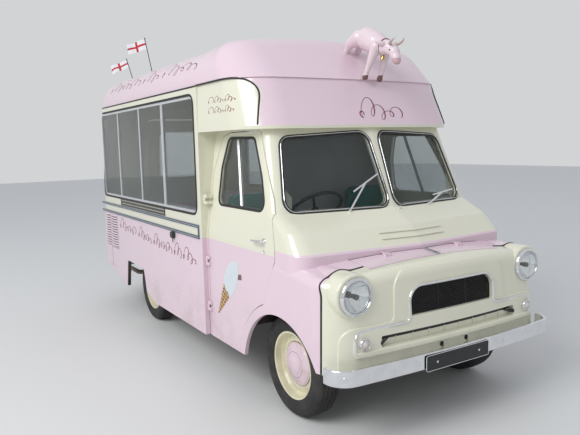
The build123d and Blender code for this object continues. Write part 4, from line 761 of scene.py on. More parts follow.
# Nose: bright line round the grille and lamps, piping, lamps, plate
noseLine = {
    "corners": [(0.715, 0.548, 0), (0.715, 0.668, 0.048), (0.348, 0.677, 0.006), (0.345, 0.874, 0.092),
                (-0.345, 0.874, 0.092), (-0.348, 0.677, 0.006), (-0.715, 0.668, 0.048), (-0.715, 0.548, 0)],
    "width": 0.015,
    "height": 0.006,
}
trim("noseBrightLine", fromFront(noseSkin, roundedPath(noseLine["corners"], 0.009), rounds=3),
     domed(noseLine["width"], noseLine["height"]), "chrome")

piping = {
    "seamX": 2.0123,
    "foot": 0.432,
    "topX": 1.9922,
    "outerY": 0.842,
    "step": 0.01,
    "counts": (45, 31),  # points up the side and over the crown
    "core": (1.6, 0, 0.6),  # inside the wing: the bead faces away from it
    "width": 0.012,
    "height": 0.0055,
}


def buildPiping(s):
    # the black bead between the wings and the nose: up each side and over the lamp's crown
    for side, sign in sides:
        rise, reach = s["counts"]
        up = [(s["seamX"], s["foot"] + s["step"] * k) for k in range(rise)]
        points, normals = fromSide(noseSkin, up, sign)
        over = [(s["topX"], sign * (s["outerY"] - s["step"] * k), farOut) for k in range(reach)]
        crown, normals = landed(noseSkin, over, (0, 0, -1))
        corner = points[-1].lerp(crown[0], 0.5) + Vector((0, sign * 0.004, 0.004))
        line = smoothed(resampled(points + [corner] + crown, 0.008), 6)
        outward = [noseSkin.find_nearest(p)[1] for p in line]
        outward = [n if n.dot(p - Vector(s["core"])) > 0 else -n for n, p in zip(outward, line)]
        outward = [n.normalized() for n in smoothed(outward, 6)]
        trim("wingPiping_" + side, (line, outward), domed(s["width"], s["height"]), "blackRubber")


buildPiping(piping)

headlamp = {
    "y": 0.700,
    "z": 0.863,
    "faceX": 2.148,
    # sections, as pairs of (ahead of the face, radius)
    "rim": ((-0.030, 0.1065), (-0.014, 0.107), (-0.008, 0.1055), (-0.003, 0.1015), (0.0, 0.0965),
            (-0.001, 0.0935), (-0.0045, 0.0925), (-0.0045, 0.091), (-0.001, 0.0895), (-0.004, 0.0875),
            (-0.009, 0.086), (-0.030, 0.086)),
    "bulb": ((-0.066, 0.012), (-0.040, 0.012), (-0.036, 0.009), (-0.028, 0.0085), (-0.022, 0.0055), (-0.020, 0.0)),
    "shade": ((-0.034, 0.0155), (-0.012, 0.0155), (-0.012, 0.0)),
    "bowl": (0.0865, 0.010, 0.058),  # radius, setback and depth
    "lens": (0.0875, 0.0095, 0.0165, 0.0028),  # radius, reach, bulge and thickness
    "flutes": 22,
    "flute": 0.0007,
}


def buildHeadlamp(s, side, sign):
    origin, ahead = Vector((s["faceX"], sign * s["y"], s["z"])), (1, 0, 0)
    rim = turned("headlampRim_" + side, s["rim"], origin, ahead, 96, "chrome", closed=True, crease=30)
    wide, back, deep = s["bowl"]
    bowl = [(-back - deep * (1 - (r / wide) ** 2), r) for r in spaced(wide, 0, 14)]
    turned("headlampBowl_" + side, [(-0.012, 0.092)] + bowl, origin, ahead, 64, "mirrorBright")
    mesh = bmesh.new()
    for section in (s["bulb"], s["shade"]):
        spinInto(mesh, section, origin, ahead, 24)
    newPiece("headlampBulb_" + side, mesh, "bulbMetal")
    # the lens: a domed shell whose inner face is drawn into upright flutes
    mesh = bmesh.new()
    wide, reach, bulge, thick = s["lens"]
    shells = []
    for inner in (0, 1):
        rings = []
        for i, radius in enumerate(spaced(0, wide, 14)):
            ring = []
            for k in range(96 if i else 1):
                t = 2 * math.pi * k / 96
                y, z = radius * math.sin(t), radius * math.cos(t)
                ripple = s["flute"] * math.cos(math.pi * s["flutes"] * y / wide)
                x = reach - bulge * (radius / wide) ** 2 + inner * (ripple - thick)
                ring.append(mesh.verts.new(origin + Vector((x, y, z))))
            rings.append(ring)
        for a, b in zip(rings, rings[1:]):
            bridge(mesh, a, b)
        shells.append(rings)
    bridge(mesh, shells[0][-1], shells[1][-1])
    newPiece("headlampLens_" + side, mesh, "lampGlass")
    return rim


for side, sign in sides:
    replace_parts(buildHeadlamp(headlamp, side, sign), "headlamps")

sideLamp = {
    "x": 2.1665,
    "y": 0.668,
    "z": 0.605,
    "rim": ((-0.012, 0.0345), (-0.004, 0.035), (0.001, 0.0325), (0.0025, 0.029), (-0.001, 0.0265), (-0.012, 0.026)),
}
for side, sign in sides:
    turned("sideLampRim_" + side, sideLamp["rim"], (sideLamp["x"], sign * sideLamp["y"], sideLamp["z"]), (1, 0, 0),
           40, "chrome", closed=True)

plate = {
    "width": 0.507,
    "corner": 0.008,
    "thick": 0.0025,
    "rim": (0.004, 0.0022),
    "fixingsY": (-0.17, 0.17),
    "fixing": ((-0.001, 0.007), (0.0015, 0.007), (0.003, 0.004), (0.0035, 0)),
}
frontPlate = {"x": 2.2545, "y": -0.053, "z": 0.443, "height": 0.090}


def buildPlate(s, name, body, place, height, tilt=0.0, facing=1):
    # a bare pressed plate in a thin bright edge, with two round fixings
    half, tall, corner = s["width"] / 2, height / 2, s["corner"]
    corners = [(-half, -tall, corner), (half, -tall, corner), (half, tall, corner), (-half, tall, corner)]
    line = roundedPath(corners, 0.01, True)
    lean = Matrix.Rotation(tilt, 4, "Y")
    out = lean @ Vector((facing, 0, 0))

    def spot(u, v, ahead):
        return Vector(place) + lean @ Vector((ahead * facing, u, v))

    mesh = bmesh.new()
    prismInto(mesh, [spot(u, v, -s["thick"]) for u, v in line], [spot(u, v, 0) for u, v in line])
    newPiece(name, mesh, "plateBlack", body)
    mesh = bmesh.new()
    sweepInto(mesh, [spot(u, v, -0.001) for u, v in line], [out] * len(line), domed(*s["rim"], 5), True)
    for u in s["fixingsY"]:
        spinInto(mesh, s["fixing"], spot(u, 0, 0), out, 20)
    newPiece(name + "Edge", mesh, "chrome", body)


buildPlate(plate, "frontPlate", "van", (frontPlate["x"], frontPlate["y"], frontPlate["z"]), frontPlate["height"])

valance = {
    "slotHalf": 0.545,
    "slotZ": 0.6045,
    "slotTall": 0.014,
    "slotEndShade": ((0.470, 0.600), (0.550, 0.600), (0.556, 0.588), (0.548, 0.574), (0.520, 0.580)),
    "holesY": (-0.112, 0.090),
    "holeZ": 0.507,
    "holeRadius": 0.0145,
    "slitDrop": 0.034,
    "slitHalf": 0.016,
    "slitTall": 0.006,
    "skin": 0.0008,
}


def buildValance(s):
    # the air slot across the nose, shown as a black strip of painted shade with black patches of painted shade at its
    # ends, and two holes in bright rings, each covered by a black disc of painted shade with a black strip of painted
    # shade for the slit under it
    line = [(y, s["slotZ"]) for y in spaced(-s["slotHalf"], s["slotHalf"], 60)]
    # painted shade: a black strip on the skin inside the slot stands for its shaded depth
    trim("airSlotShade", fromFront(noseSkin, line), strip(s["slotTall"], s["skin"]), "plateBlack")
    # painted shade: black patches at both ends of the slot, where its ends are shadowed
    for side, sign in sides:
        paintOn("slotEndShade_" + side, noseSkin, [(sign * u, v) for u, v in s["slotEndShade"]],
                lambda u, v: (Vector((farOut, u, v)), Vector((-1, 0, 0))), "plateBlack", "van", 0.0012)
    rings, dark = bmesh.new(), bmesh.new()
    r = s["holeRadius"]
    for y in s["holesY"]:
        seat, out = seatAt(noseSkin, (farOut, y, s["holeZ"]), (-1, 0, 0))
        spinInto(rings, [(-0.001, r + 0.004), (0.002, r + 0.003), (0.002, r), (-0.001, r)], seat, out, 28, True)
        # painted shade: a black disc over each hole stands for its shaded inside
        spinInto(dark, [(s["skin"], r + 0.001), (s["skin"], 0)], seat, out, 28)
        # painted shade: a black strip under each hole stands for the shaded slit
        slit = [(u, s["holeZ"] - s["slitDrop"]) for u in spaced(y - s["slitHalf"], y + s["slitHalf"], 4)]
        sweepInto(dark, *fromFront(noseSkin, slit), strip(s["slitTall"], s["skin"]))
    newPiece("valanceRings", rings, "aluminium")
    newPiece("valanceHoleShade", dark, "plateBlack")


buildValance(valance)

bumperBolts = {"y": (0.36, 0.83), "z": 0.455, "head": ((-0.001, 0.014), (0.002, 0.014), (0.005, 0.010), (0.006, 0))}


def buildBumperBolts(s):
    mesh = bmesh.new()
    bumper = surfaceOf("front_bumper")
    for y in (sign * y for sign in (-1, 1) for y in s["y"]):
        spinInto(mesh, s["head"], *seatAt(bumper, (farOut, y, s["z"]), (-1, 0, 0)), 24)
    newPiece("bumperBolts", mesh, "chrome")


buildBumperBolts(bumperBolts)

bonnetStrip = {"from": 1.915, "to": 2.040, "narrow": 0.010, "wide": 0.034, "height": 0.011}


def buildBonnetStrip(s):
    # the small bright finial on the front edge of the lid, widening forwards
    line = [(x, 0, farOut) for x in spaced(s["from"], s["to"], 14)]
    points, normals = landed(surfaceOf("bonnet"), line, (0, 0, -1))
    widths = [s["narrow"] + (s["wide"] - s["narrow"]) * share ** 1.5 for share in spaced(0, 1, 14)]
    mesh = bmesh.new()
    sweepInto(mesh, points, normals, domed(1.0, s["height"], 8), False, widths)
    newPiece("bonnetStrip", mesh, "aluminium", "bonnet")


buildBonnetStrip(bonnetStrip)
print("nose trimmed")


# Windows: black rubbers, bright inserts round the screens
gasket = {"width": 0.026, "height": 0.007, "insert": (0.007, 0.0095)}
screen = {
    "corners": ((0.029, 1.270), (0.052, 1.747), (0.668, 1.716), (0.745, 1.268)),
    "radius": 0.062,
    "out": 0.009,
}
doorWindow = {
    "corners": ((-0.828, 1.275), (-0.822, 1.530), (-0.755, 1.728), (-0.385, 1.722), (-0.240, 1.475),
                (-0.162, 1.275)),
    "radius": 0.046,
    "out": 0.006,
}
sideWindow = {
    "corners": ((-2.070, 1.185), (0.490, 1.185), (0.490, 2.050), (-2.070, 2.050)),
    "radius": 0.060,
    "out": 0.006,
}


def windowLine(s, step, shift=0.0, sign=1):
    # the opening's outline moved outwards, its corners rounded to match
    corners = [Vector((shift + sign * u, v)) for u, v in s["corners"]]
    middle = sum(corners, Vector((0, 0))) / len(corners)
    line = []
    for i, here in enumerate(corners):
        before = (corners[i - 1] - here).normalized()
        after = (corners[(i + 1) % len(corners)] - here).normalized()
        inward = (before + after).normalized()
        if inward.dot(middle - here) < 0:
            inward = -inward
        place = here - inward * s["out"] / math.sin(before.angle(after) / 2)
        line.append((*place, s["radius"] + s["out"]))
    return roundedPath(line, step, True)


def fitGasket(s, name, landing, body="van"):
    trim(name, landing, domed(s["width"], s["height"]), "blackRubber", body, True)
    if "insert" in s:
        trim(name + "Insert", landing, domed(*s["insert"]), "chrome", body, True)


for side, sign in sides:
    fitGasket(gasket, "screenRubber_" + side, fromFront(cabSkin, windowLine(screen, 0.012, 0.0, sign), True))
    fitGasket({"width": 0.018, "height": 0.005}, "doorWindowRubber_" + side,
              fromSide(doorSkin[side], windowLine(doorWindow, 0.012, frontAxleX), sign, True), "cab_door_" + side)
    fitGasket({"width": 0.018, "height": 0.006}, "sideWindowRubber_" + side,
              fromSide(bodySkin, windowLine(sideWindow, 0.02), sign, True))

doorBar = {
    "foot": (1.059, 1.281),
    "head": (0.916, 1.722),
    "shifts": (-0.0085, 0.0085),
    "width": 0.012,
    "height": 0.010,
}


def buildDoorBars(s, side, sign):
    # two bright channels side by side where the sliding panes of a cab door meet
    mesh = bmesh.new()
    glass = surfaceOf("door_glass_" + side)
    for shift in s["shifts"]:
        line = [(x + shift, z) for x, z in spaced(Vector(s["foot"]), Vector(s["head"]), 12)]
        sweepInto(mesh, *fromSide(glass, line, sign), domed(s["width"], s["height"]))
    newPiece("doorWindowBars_" + side, mesh, "aluminium", "cab_door_" + side)


for side, sign in sides:
    buildDoorBars(doorBar, side, sign)
print("windows trimmed")


# Sides: gutter beads, cream between the mouldings, louvres, handles, filler
gutter = {
    "body": [(-2.02, 2.108, 0), (0.562, 2.108, 0)],
    "luton": [(0.566, 2.112, 0), (1.215, 2.112, 0.165), (1.292, 1.806, 0)],
    "width": 0.012,
    "height": 0.007,
}
for side, sign in sides:
    for part, skin in (("body", surfaceOf("body_side_" + side)), ("luton", bodySkin)):
        trim(part + "Bead_" + side, fromSide(skin, roundedPath(gutter[part], 0.02), sign, rounds=3),
             domed(gutter["width"], gutter["height"]), "blackRubber")

creamBand = {"from": -2.165, "to": 0.508, "z": 1.053, "height": 0.058, "out": 0.0008, "tuck": 0.0005}
louvres = {
    "columns": ((-2.200, -1.925), (-1.880, -1.670)),
    "top": 0.978,
    "pitch": 0.0265,
    "count": 13,
    "reach": 0.013,
    # the hood's section: (below its middle, share of the reach); what is under the skin is in metres
    "hood": ((-0.0065, -0.001), (-0.0065, 0.0), (-0.002, 0.60), (0.003, 0.93), (0.0070, 1.0), (0.0070, -0.001)),
    "slotDrop": 0.0078,
    "slot": 0.0112,
}
panelSeams = {
    "lines": (((-1.645, 0.998), (-1.645, 0.630)), ((-1.645, 0.630), (-1.880, 0.630)),
              ((-1.902, 0.998), (-1.902, 0.420))),
    "width": 0.0045,
}


def buildCreamBand(s, side, sign):
    # cream enamel between the two strips, as a skin of paint
    edges = []
    for z in (s["z"] - s["height"] / 2, s["z"] + s["height"] / 2):
        starts = [(x, farOut * sign, z) for x in spaced(s["from"], s["to"], 40)]
        edges.append([seatAt(bodySkin, start, (0, -sign, 0)) for start in starts])
    low, high = edges
    mesh = bmesh.new()
    layers = ((low, s["out"]), (high, s["out"]), (high, -s["tuck"]), (low, -s["tuck"]))
    lines = [[mesh.verts.new(p + n * out) for p, n in row] for row, out in layers]
    skinInto(mesh, [list(ring) for ring in zip(*lines)])
    newPiece("creamBand_" + side, mesh, "creamPaint")


def buildLouvres(s, side, sign):
    # pressed louvres in two columns: each a hooded scoop with a thin black prism of painted shade in the slot under
    # it
    hoods, shadeSlots = bmesh.new(), bmesh.new()
    down, count = Vector((0, 0, -1)), 10
    ends = [min(1.0, 4.5 * min(k, count - k) / count) for k in range(count + 1)]
    for low, high in s["columns"]:
        for row in range(s["count"]):
            z = s["top"] - s["pitch"] * row
            points, normals = fromSide(bodySkin, [(x, z) for x in spaced(low, high, count)], sign)
            rings = []
            for point, out, end in zip(points, normals, ends):
                lift = s["reach"] * (0.12 + 0.88 * end)
                section = [(u, v * lift if v > 0 else v) for u, v in s["hood"]]
                rings.append([hoods.verts.new(point + down * u + out * v) for u, v in section])
            skinInto(hoods, rings)
            # painted shade: a thin black prism under each hood stands for the shaded opening
            inner = [(p + down * s["slotDrop"], n) for p, n in zip(points, normals)]
            top = [p - n * 0.0005 for p, n in inner] + [p + n * 0.0012 for p, n in inner[::-1]]
            prismInto(shadeSlots, top, [p + down * s["slot"] for p in top])
    newPiece("sideLouvres_" + side, hoods, "bodyPaint", crease=30)
    newPiece("louvreSlotShade_" + side, shadeSlots, "plateBlack")


def buildSeams(s, side, sign):
    # the joints round the louvred corner panels
    mesh = bmesh.new()
    for start, end in s["lines"]:
        line = fromSide(bodySkin, spaced(Vector(start), Vector(end), 14), sign)
        sweepInto(mesh, *line, strip(s["width"], 0.0007, 0.0008))
    newPiece("panelSeams_" + side, mesh, "seamBrown")


for side, sign in sides:
    buildCreamBand(creamBand, side, sign)
    buildLouvres(louvres, side, sign)
    buildSeams(panelSeams, side, sign)

moulding = {"from": -2.160, "to": 0.512, "rows": (1.012, 1.094), "width": 0.0055, "height": 0.0022}


def buildMouldingRibs(s, side, sign):
    # the bright rib along the middle of each strip
    mesh = bmesh.new()
    strips = surfaceOf("side_mouldings")
    for z in s["rows"]:
        line = [(x, z) for x in spaced(s["from"], s["to"], 60)]
        sweepInto(mesh, *fromSide(strips, line, sign), domed(s["width"], s["height"]))
    newPiece("mouldingRibs_" + side, mesh, "aluminium")


doorHandle = {
    "x": 1.416,
    "z": 1.088,
    "lever": 0.125,
    "stem": ((-0.001, 0.023), (0.004, 0.023), (0.007, 0.019), (0.008, 0.012), (0.020, 0.010), (0.034, 0.0105),
             (0.040, 0.006), (0.041, 0)),
    "leverOut": 0.028,
    "lockPlace": (0.006, -0.062),
    "lock": ((-0.001, 0.012), (0.003, 0.012), (0.0045, 0.009), (0.003, 0.0075), (0.003, 0.002), (0.0012, 0.0)),
}


def buildDoorHandle(s, side, sign):
    seat, out = seatAt(doorSkin[side], (s["x"], farOut * sign, s["z"]), (0, -sign, 0))
    mesh = bmesh.new()
    spinInto(mesh, s["stem"], seat, out, 28)
    start = seat + out * s["leverOut"]
    line = [start + Vector((-s["lever"] * t, sign * 0.006 * math.sin(math.pi * t), -0.004 * t))
            for t in (k / 12 for k in range(-1, 13))]
    tubeInto(mesh, line, [0.0095 - 0.0035 * k / 13 for k in range(13)] + [0.003])
    newPiece("doorHandle_" + side, mesh, "chrome", "cab_door_" + side)
    ahead, above = s["lockPlace"]
    seat, out = seatAt(doorSkin[side], (s["x"] + ahead, farOut * sign, s["z"] + above), (0, -sign, 0))
    turned("doorLock_" + side, s["lock"], seat, out, 24, "chrome", "cab_door_" + side)


for build, settings in ((buildMouldingRibs, moulding), (buildDoorHandle, doorHandle)):
    for side, sign in sides:
        build(settings, side, sign)

filler = {
    "x": -0.010,
    "z": 0.975,
    "radius": 0.030,
    # the cap's section, its radii as shares of the radius
    "cap": ((-0.001, 1.15), (0.004, 1.15), (0.006, 1.0), (0.022, 0.94), (0.027, 0.84), (0.028, 0.4), (0.028, 0.0)),
    "keeper": (0.010, -0.004, -0.062),
}


def buildFiller(s):
    # a black water filler cap on the right side, with its short keeper
    seat, out = seatAt(bodySkin, (s["x"], -farOut, s["z"]), (0, 1, 0))
    mesh = bmesh.new()
    spinInto(mesh, [(along, s["radius"] * share) for along, share in s["cap"]], seat, out, 32)
    start = seat + out * 0.012
    tubeInto(mesh, spaced(start, start + Vector(s["keeper"]), 6), [0.0035] * 7, 10)
    newPiece("fillerCap", mesh, "darkPlastic")


buildFiller(filler)
print("sides trimmed")


# Wheels: tyres with zigzag grooves in the tread and rings on the walls
tyre = {
    # the wall's section, from the shoulder to the bead: pairs of (across, radius)
    "wall": ((0.0645, 0.3125), (0.0705, 0.3075), (0.0750, 0.3030), (0.0785, 0.2950), (0.0805, 0.2880),
             (0.0795, 0.2855), (0.0812, 0.2825), (0.0828, 0.2680), (0.0830, 0.2550), (0.0815, 0.2420),
             (0.0795, 0.2330), (0.0802, 0.2305), (0.0780, 0.2265), (0.0735, 0.2190), (0.0670, 0.2115),
             (0.0600, 0.2062), (0.0300, 0.2052)),
    "halfTread": 0.060,
    "shoulder": 0.0038,
    "shoulderCuts": (0.050, 0.55),  # from this far across, on this part of each wave
    "grooves": (-0.040, -0.014, 0.014, 0.040),
    "grooveHalf": 0.0026,
    "depth": 0.0062,
    "zigzag": 0.0042,
    "waves": 36,
    "steps": 288,
}


def treadRadius(s, across, turn):
    # the tread's radius with its wavy grooves and the short cuts in both shoulders
    radius = wheelRadius - s["shoulder"] * (across / s["halfTread"]) ** 2
    wave = abs((turn * s["waves"] / (2 * math.pi)) % 1.0 - 0.5) * 4 - 1
    for groove in s["grooves"]:
        away = abs(across - groove - wave * s["zigzag"])
        radius -= s["depth"] * min(max((s["grooveHalf"] * 1.5 - away) / s["grooveHalf"], 0.0), 1.0)
    cutFrom, cutWave = s["shoulderCuts"]
    if abs(across) > cutFrom and wave > cutWave:
        radius -= s["depth"] * 0.5
    return radius


def buildTyre(s, name, axle, body):
    mesh = bmesh.new()
    rings = []
    for k in range(s["steps"]):
        turn = 2 * math.pi * k / s["steps"]
        out = Vector((math.cos(turn), 0, math.sin(turn)))
        tread = [(u, treadRadius(s, u, turn)) for u in spaced(s["halfTread"], -s["halfTread"], 48)]
        line = list(s["wall"][::-1]) + tread + [(-u, r) for u, r in s["wall"]]
        rings.append([mesh.verts.new(Vector(axle) + out * r + Vector((0, u, 0))) for u, r in line])
    skinInto(mesh, rings, True)
    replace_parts(newPiece("tread_" + name, mesh, "tyreRubber", body, 30), "tyre_" + name)


valve = {
    "radius": 0.165,
    "out": 0.010,
    "run": (-0.006, 0.034),  # inwards and outwards from its foot
    "places": (0, 0.4, 0.7, 0.72, 1),
    "radii": (0.0045, 0.004, 0.0035, 0.0045, 0.004),
}


def buildValve(s, name, axle, sign, body):
    mesh = bmesh.new()
    start = Vector(axle) + Vector((s["radius"], sign * s["out"], 0))
    run = Vector((s["run"][0], sign * s["run"][1], 0))
    tubeInto(mesh, [start + run * t for t in s["places"]], s["radii"], 12)
    newPiece("valve_" + name, mesh, "blackRubber", body)


for end, axleX in (("front", frontAxleX), ("rear", rearAxleX)):
    for side, sign in sides:
        name, axle = end + "_" + side, (axleX, sign * halfTrack, wheelRadius)
        buildTyre(tyre, name, axle, "wheel_" + name)
        buildValve(valve, name, axle, sign, "wheel_" + name)
print("wheels shod")


# Painted decoration: a plain cone on each door, plain scrolls along the sides, the roof and the front
cone = {
    "tip": (0.722, 0.480),
    "top": (1.044, 0.905),
    # each part: its outline, as pairs of (up from the tip, aside), its finish and the lift of the paint
    "Stick": (((0.395, 0.030), (0.425, 0.012), (0.510, 0.095), (0.480, 0.118)), "chocolate", 0.0007),
    "Shell": (((0.0, -0.004), (0.255, -0.060), (0.262, -0.020), (0.268, 0.020), (0.255, 0.062), (0.0, 0.004)),
              "waferPaint", 0.0007),
    "Ice": (((0.258, -0.064), (0.300, -0.082), (0.360, -0.090), (0.420, -0.084), (0.470, -0.064), (0.510, -0.034),
             (0.532, 0.000), (0.530, 0.022), (0.508, 0.040), (0.485, 0.060), (0.440, 0.076), (0.390, 0.086),
             (0.340, 0.090), (0.290, 0.082), (0.250, 0.068), (0.238, 0.046), (0.252, 0.020), (0.236, -0.006),
             (0.250, -0.036)), "icePaint", 0.00112),
}


def buildCone(s, side, sign):
    tip = Vector(s["tip"])
    up = (Vector(s["top"]) - tip).normalized()
    aside = Vector((up.y, -up.x))

    def spot(u, v):
        place = tip + up * u + aside * v
        return Vector((place.x, farOut * sign, place.y)), Vector((0, -sign, 0))

    for part in ("Stick", "Shell", "Ice"):
        outline, finish, lift = s[part]
        paintOn("cone" + part + "_" + side, doorSkin[side], outline, spot, finish, "cab_door_" + side, lift)


for side, sign in sides:
    buildCone(cone, side, sign)

# each place: its middle, its groups as (start, end, loops), the height of a tall loop, the width of the line
scrolls = {
    "roof": {"x": -0.55, "up": 0.085, "groups": ((-1.16, -0.28, 7), (-0.14, 0.20, 3), (0.36, 1.02, 5)),
             "height": 0.125, "width": 0.014},
    "side": {"x": -0.55, "z": 0.830, "slope": -0.040,
             "groups": ((-0.98, -0.50, 6), (-0.38, -0.06, 5), (0.04, 0.46, 7), (0.54, 0.66, 2), (0.74, 0.96, 3)),
             "height": 0.100, "width": 0.013},
    "luton": {"x": 0.930, "z": (1.968, 1.900), "groups": ((-0.17, -0.11, 1), (-0.07, 0.05, 3), (0.09, 0.18, 3)),
              "height": 0.040, "width": 0.006},
    "front": {"y": 0.090, "z": 1.845, "groups": ((-0.15, 0.19, 4),), "height": 0.130, "width": 0.011},
}
brush = {
    "talls": (0.46, 0.74, 0.42, 0.50),  # heights of the loops after the first, as shares
    "lean": 0.30,
    "cross": 0.42,
    "drift": 0.10,
    "curl": 0.20,
    "thin": 0.42,
    "heavy": 0.62,
    "lift": 0.0009,
}
roofEdge = {"y": 0.645, "z": 2.165, "radius": 0.243}


def loopStrokes(s, groups, height):
    # plain loops in groups, the first of each group a tall one, heavier on the down strokes
    strokes, fine = [], 20
    for start, end, loops in groups:
        pitch, line = (end - start) / loops, []
        for k in range(loops * fine + 1):
            turn, place = 2 * math.pi * k / fine, k // fine
            tall = height * (s["talls"][place % 4] if place else 1.0)
            rise = tall * (1 - math.cos(turn)) / 2
            across = start + pitch * k / fine - s["cross"] * pitch * math.sin(turn) + s["lean"] * rise
            drop = s["drift"] * height * math.sin(turn / 2.7)
            line.append((across, rise + drop, s["thin"] + s["heavy"] * max(0.0, -math.sin(turn)) ** 1.5))
        strokes.append(line)
        curl, line = height * s["curl"], []
        for t in spaced(0, 1, 24):
            across = start - curl * (1 - 0.6 * t) * math.sin(5.5 * t)
            line.append((across, curl * (1 - (1 - 0.5 * t) * math.cos(5.5 * t)), 0.5 + 0.4 * math.sin(math.pi * t)))
        strokes.append(line)
    return strokes


def paintScroll(name, one, spot):
    # spot turns a point of the drawing into the start and the way of a ray to the skin
    mesh, half, lift = bmesh.new(), one["width"] / 2, brush["lift"]
    section = [(half, -0.0004), (half, lift * 0.6), (0, lift), (-half, lift * 0.6), (-half, -0.0004)]
    for stroke in loopStrokes(brush, one["groups"], one["height"]):
        starts, ways = zip(*[spot(u, v) for u, v, wide in stroke])
        points, normals = landed(bodySkin, starts, list(ways), rounds=1)
        sweepInto(mesh, points, normals, section, False, [wide for u, v, wide in stroke])
    newPiece(name, mesh, "burgundyPaint")


def paintScrolls(s, side, sign):
    def onRoof(u, v):
        turn = (s["roof"]["up"] + v) / roofEdge["radius"]
        out = Vector((0, sign * math.cos(turn), math.sin(turn)))
        return Vector((s["roof"]["x"] - sign * u, sign * roofEdge["y"], roofEdge["z"])) + out * farOut / 2, -out

    def onSide(x, z, slope=0.0):
        return lambda u, v: (Vector((x - sign * u, farOut * sign, z + slope * u + v)), Vector((0, -sign, 0)))

    low, luton = s["side"], s["luton"]
    paintScroll("roofScroll_" + side, s["roof"], onRoof)
    paintScroll("sideScroll_" + side, low, onSide(low["x"], low["z"], low["slope"]))
    for row, height in enumerate(luton["z"]):
        paintScroll(f"lutonScroll{row}_{side}", luton, onSide(luton["x"], height))


for side, sign in sides:
    paintScrolls(scrolls, side, sign)
paintScroll("frontScroll", scrolls["front"], lambda u, v: (
    Vector((farOut, scrolls["front"]["y"] + u, scrolls["front"]["z"] + v)), Vector((-1, 0, 0))))
print("decoration painted")


# Roof: the cow and the flags
cow = {
    "x": 1.550,
    "y": 0.100,
    # columns: start x, y, z, end x, y, z, start and end radius
    "bars": (
        (-0.345, 0, 2.410, -0.290, 0, 2.392, 0.062, 0.082),  # rump, trunk, shoulders, neck, head
        (-0.290, 0, 2.392, -0.205, 0, 2.352, 0.082, 0.078),
        (-0.205, 0, 2.352, -0.135, 0, 2.318, 0.078, 0.060),
        (-0.150, 0, 2.324, -0.060, 0, 2.298, 0.058, 0.046),
        (-0.070, 0, 2.304, -0.018, 0, 2.268, 0.045, 0.039),
        (-0.020, 0, 2.266, 0.004, 0, 2.226, 0.037, 0.030),
        (-0.006, 0, 2.216, 0.010, 0, 2.206, 0.026, 0.026),
        (-0.335, -0.040, 2.402, -0.425, -0.048, 2.376, 0.058, 0.036),  # hind legs
        (-0.425, -0.048, 2.376, -0.482, -0.050, 2.316, 0.033, 0.018),
        (-0.335, 0.040, 2.402, -0.425, 0.048, 2.376, 0.058, 0.036),
        (-0.425, 0.048, 2.376, -0.482, 0.050, 2.316, 0.033, 0.018),
        (-0.150, -0.044, 2.316, -0.205, -0.052, 2.215, 0.040, 0.024),  # forelegs
        (-0.205, -0.052, 2.215, -0.250, -0.054, 2.142, 0.021, 0.017),
        (-0.150, 0.044, 2.316, -0.185, 0.052, 2.205, 0.040, 0.024),
        (-0.185, 0.052, 2.205, -0.226, 0.054, 2.128, 0.021, 0.017),
        (-0.251, -0.054, 2.136, -0.255, -0.054, 2.128, 0.020, 0.022),  # hooves
        (-0.227, 0.054, 2.122, -0.231, 0.054, 2.114, 0.020, 0.022),
        (-0.250, 0, 2.318, -0.262, 0, 2.302, 0.034, 0.022),
    ),
    "voxel": 0.0052,
    "soften": 7,
    "ear": (0.008, 0.013, 0.016, 0.015, 0.010, 0.003),  # radii along it, as for the horn and the tail
    "horn": (0.0125, 0.0115, 0.0102, 0.0090, 0.0076, 0.0060, 0.0042, 0.0018),
    "tail": (0.008, 0.007, 0.0065, 0.006, 0.0055, 0.006, 0.010, 0.012, 0.004),
    "eye": ((0.0, 0.0), (0.001, 0.0045), (0.004, 0.0055), (0.007, 0.003), (0.008, 0.0)),
    "nostril": ((0.0, 0.0), (0.0005, 0.0035), (0.002, 0.004), (0.0035, 0.0)),
    "collar": ((-0.005, 0.0510), (-0.005, 0.0562), (-0.002, 0.0572), (0.003, 0.0565), (0.005, 0.0550),
               (0.005, 0.0495)),
    "bell": ((-0.030, 0.0), (-0.030, 0.014), (-0.027, 0.0155), (-0.018, 0.012), (-0.006, 0.0095), (-0.001, 0.006),
             (0.0, 0.0)),
}


def roundBarInto(mesh, start, end, startRadius, endRadius):
    # a tapered bar with round ends
    way = (end - start).normalized()
    bends = spaced(0, math.pi / 2, 5)
    shares = spaced(0, 1, 8)[1:-1]
    points = [start - way * startRadius * math.sin(b) for b in bends[::-1]]
    points += [start.lerp(end, share) for share in shares]
    points += [end + way * endRadius * math.sin(b) for b in bends]
    radii = [max(startRadius * math.cos(b), 0.001) for b in bends[::-1]]
    radii += [startRadius + (endRadius - startRadius) * share for share in shares]
    radii += [max(endRadius * math.cos(b), 0.001) for b in bends]
    tubeInto(mesh, points, radii, 20)


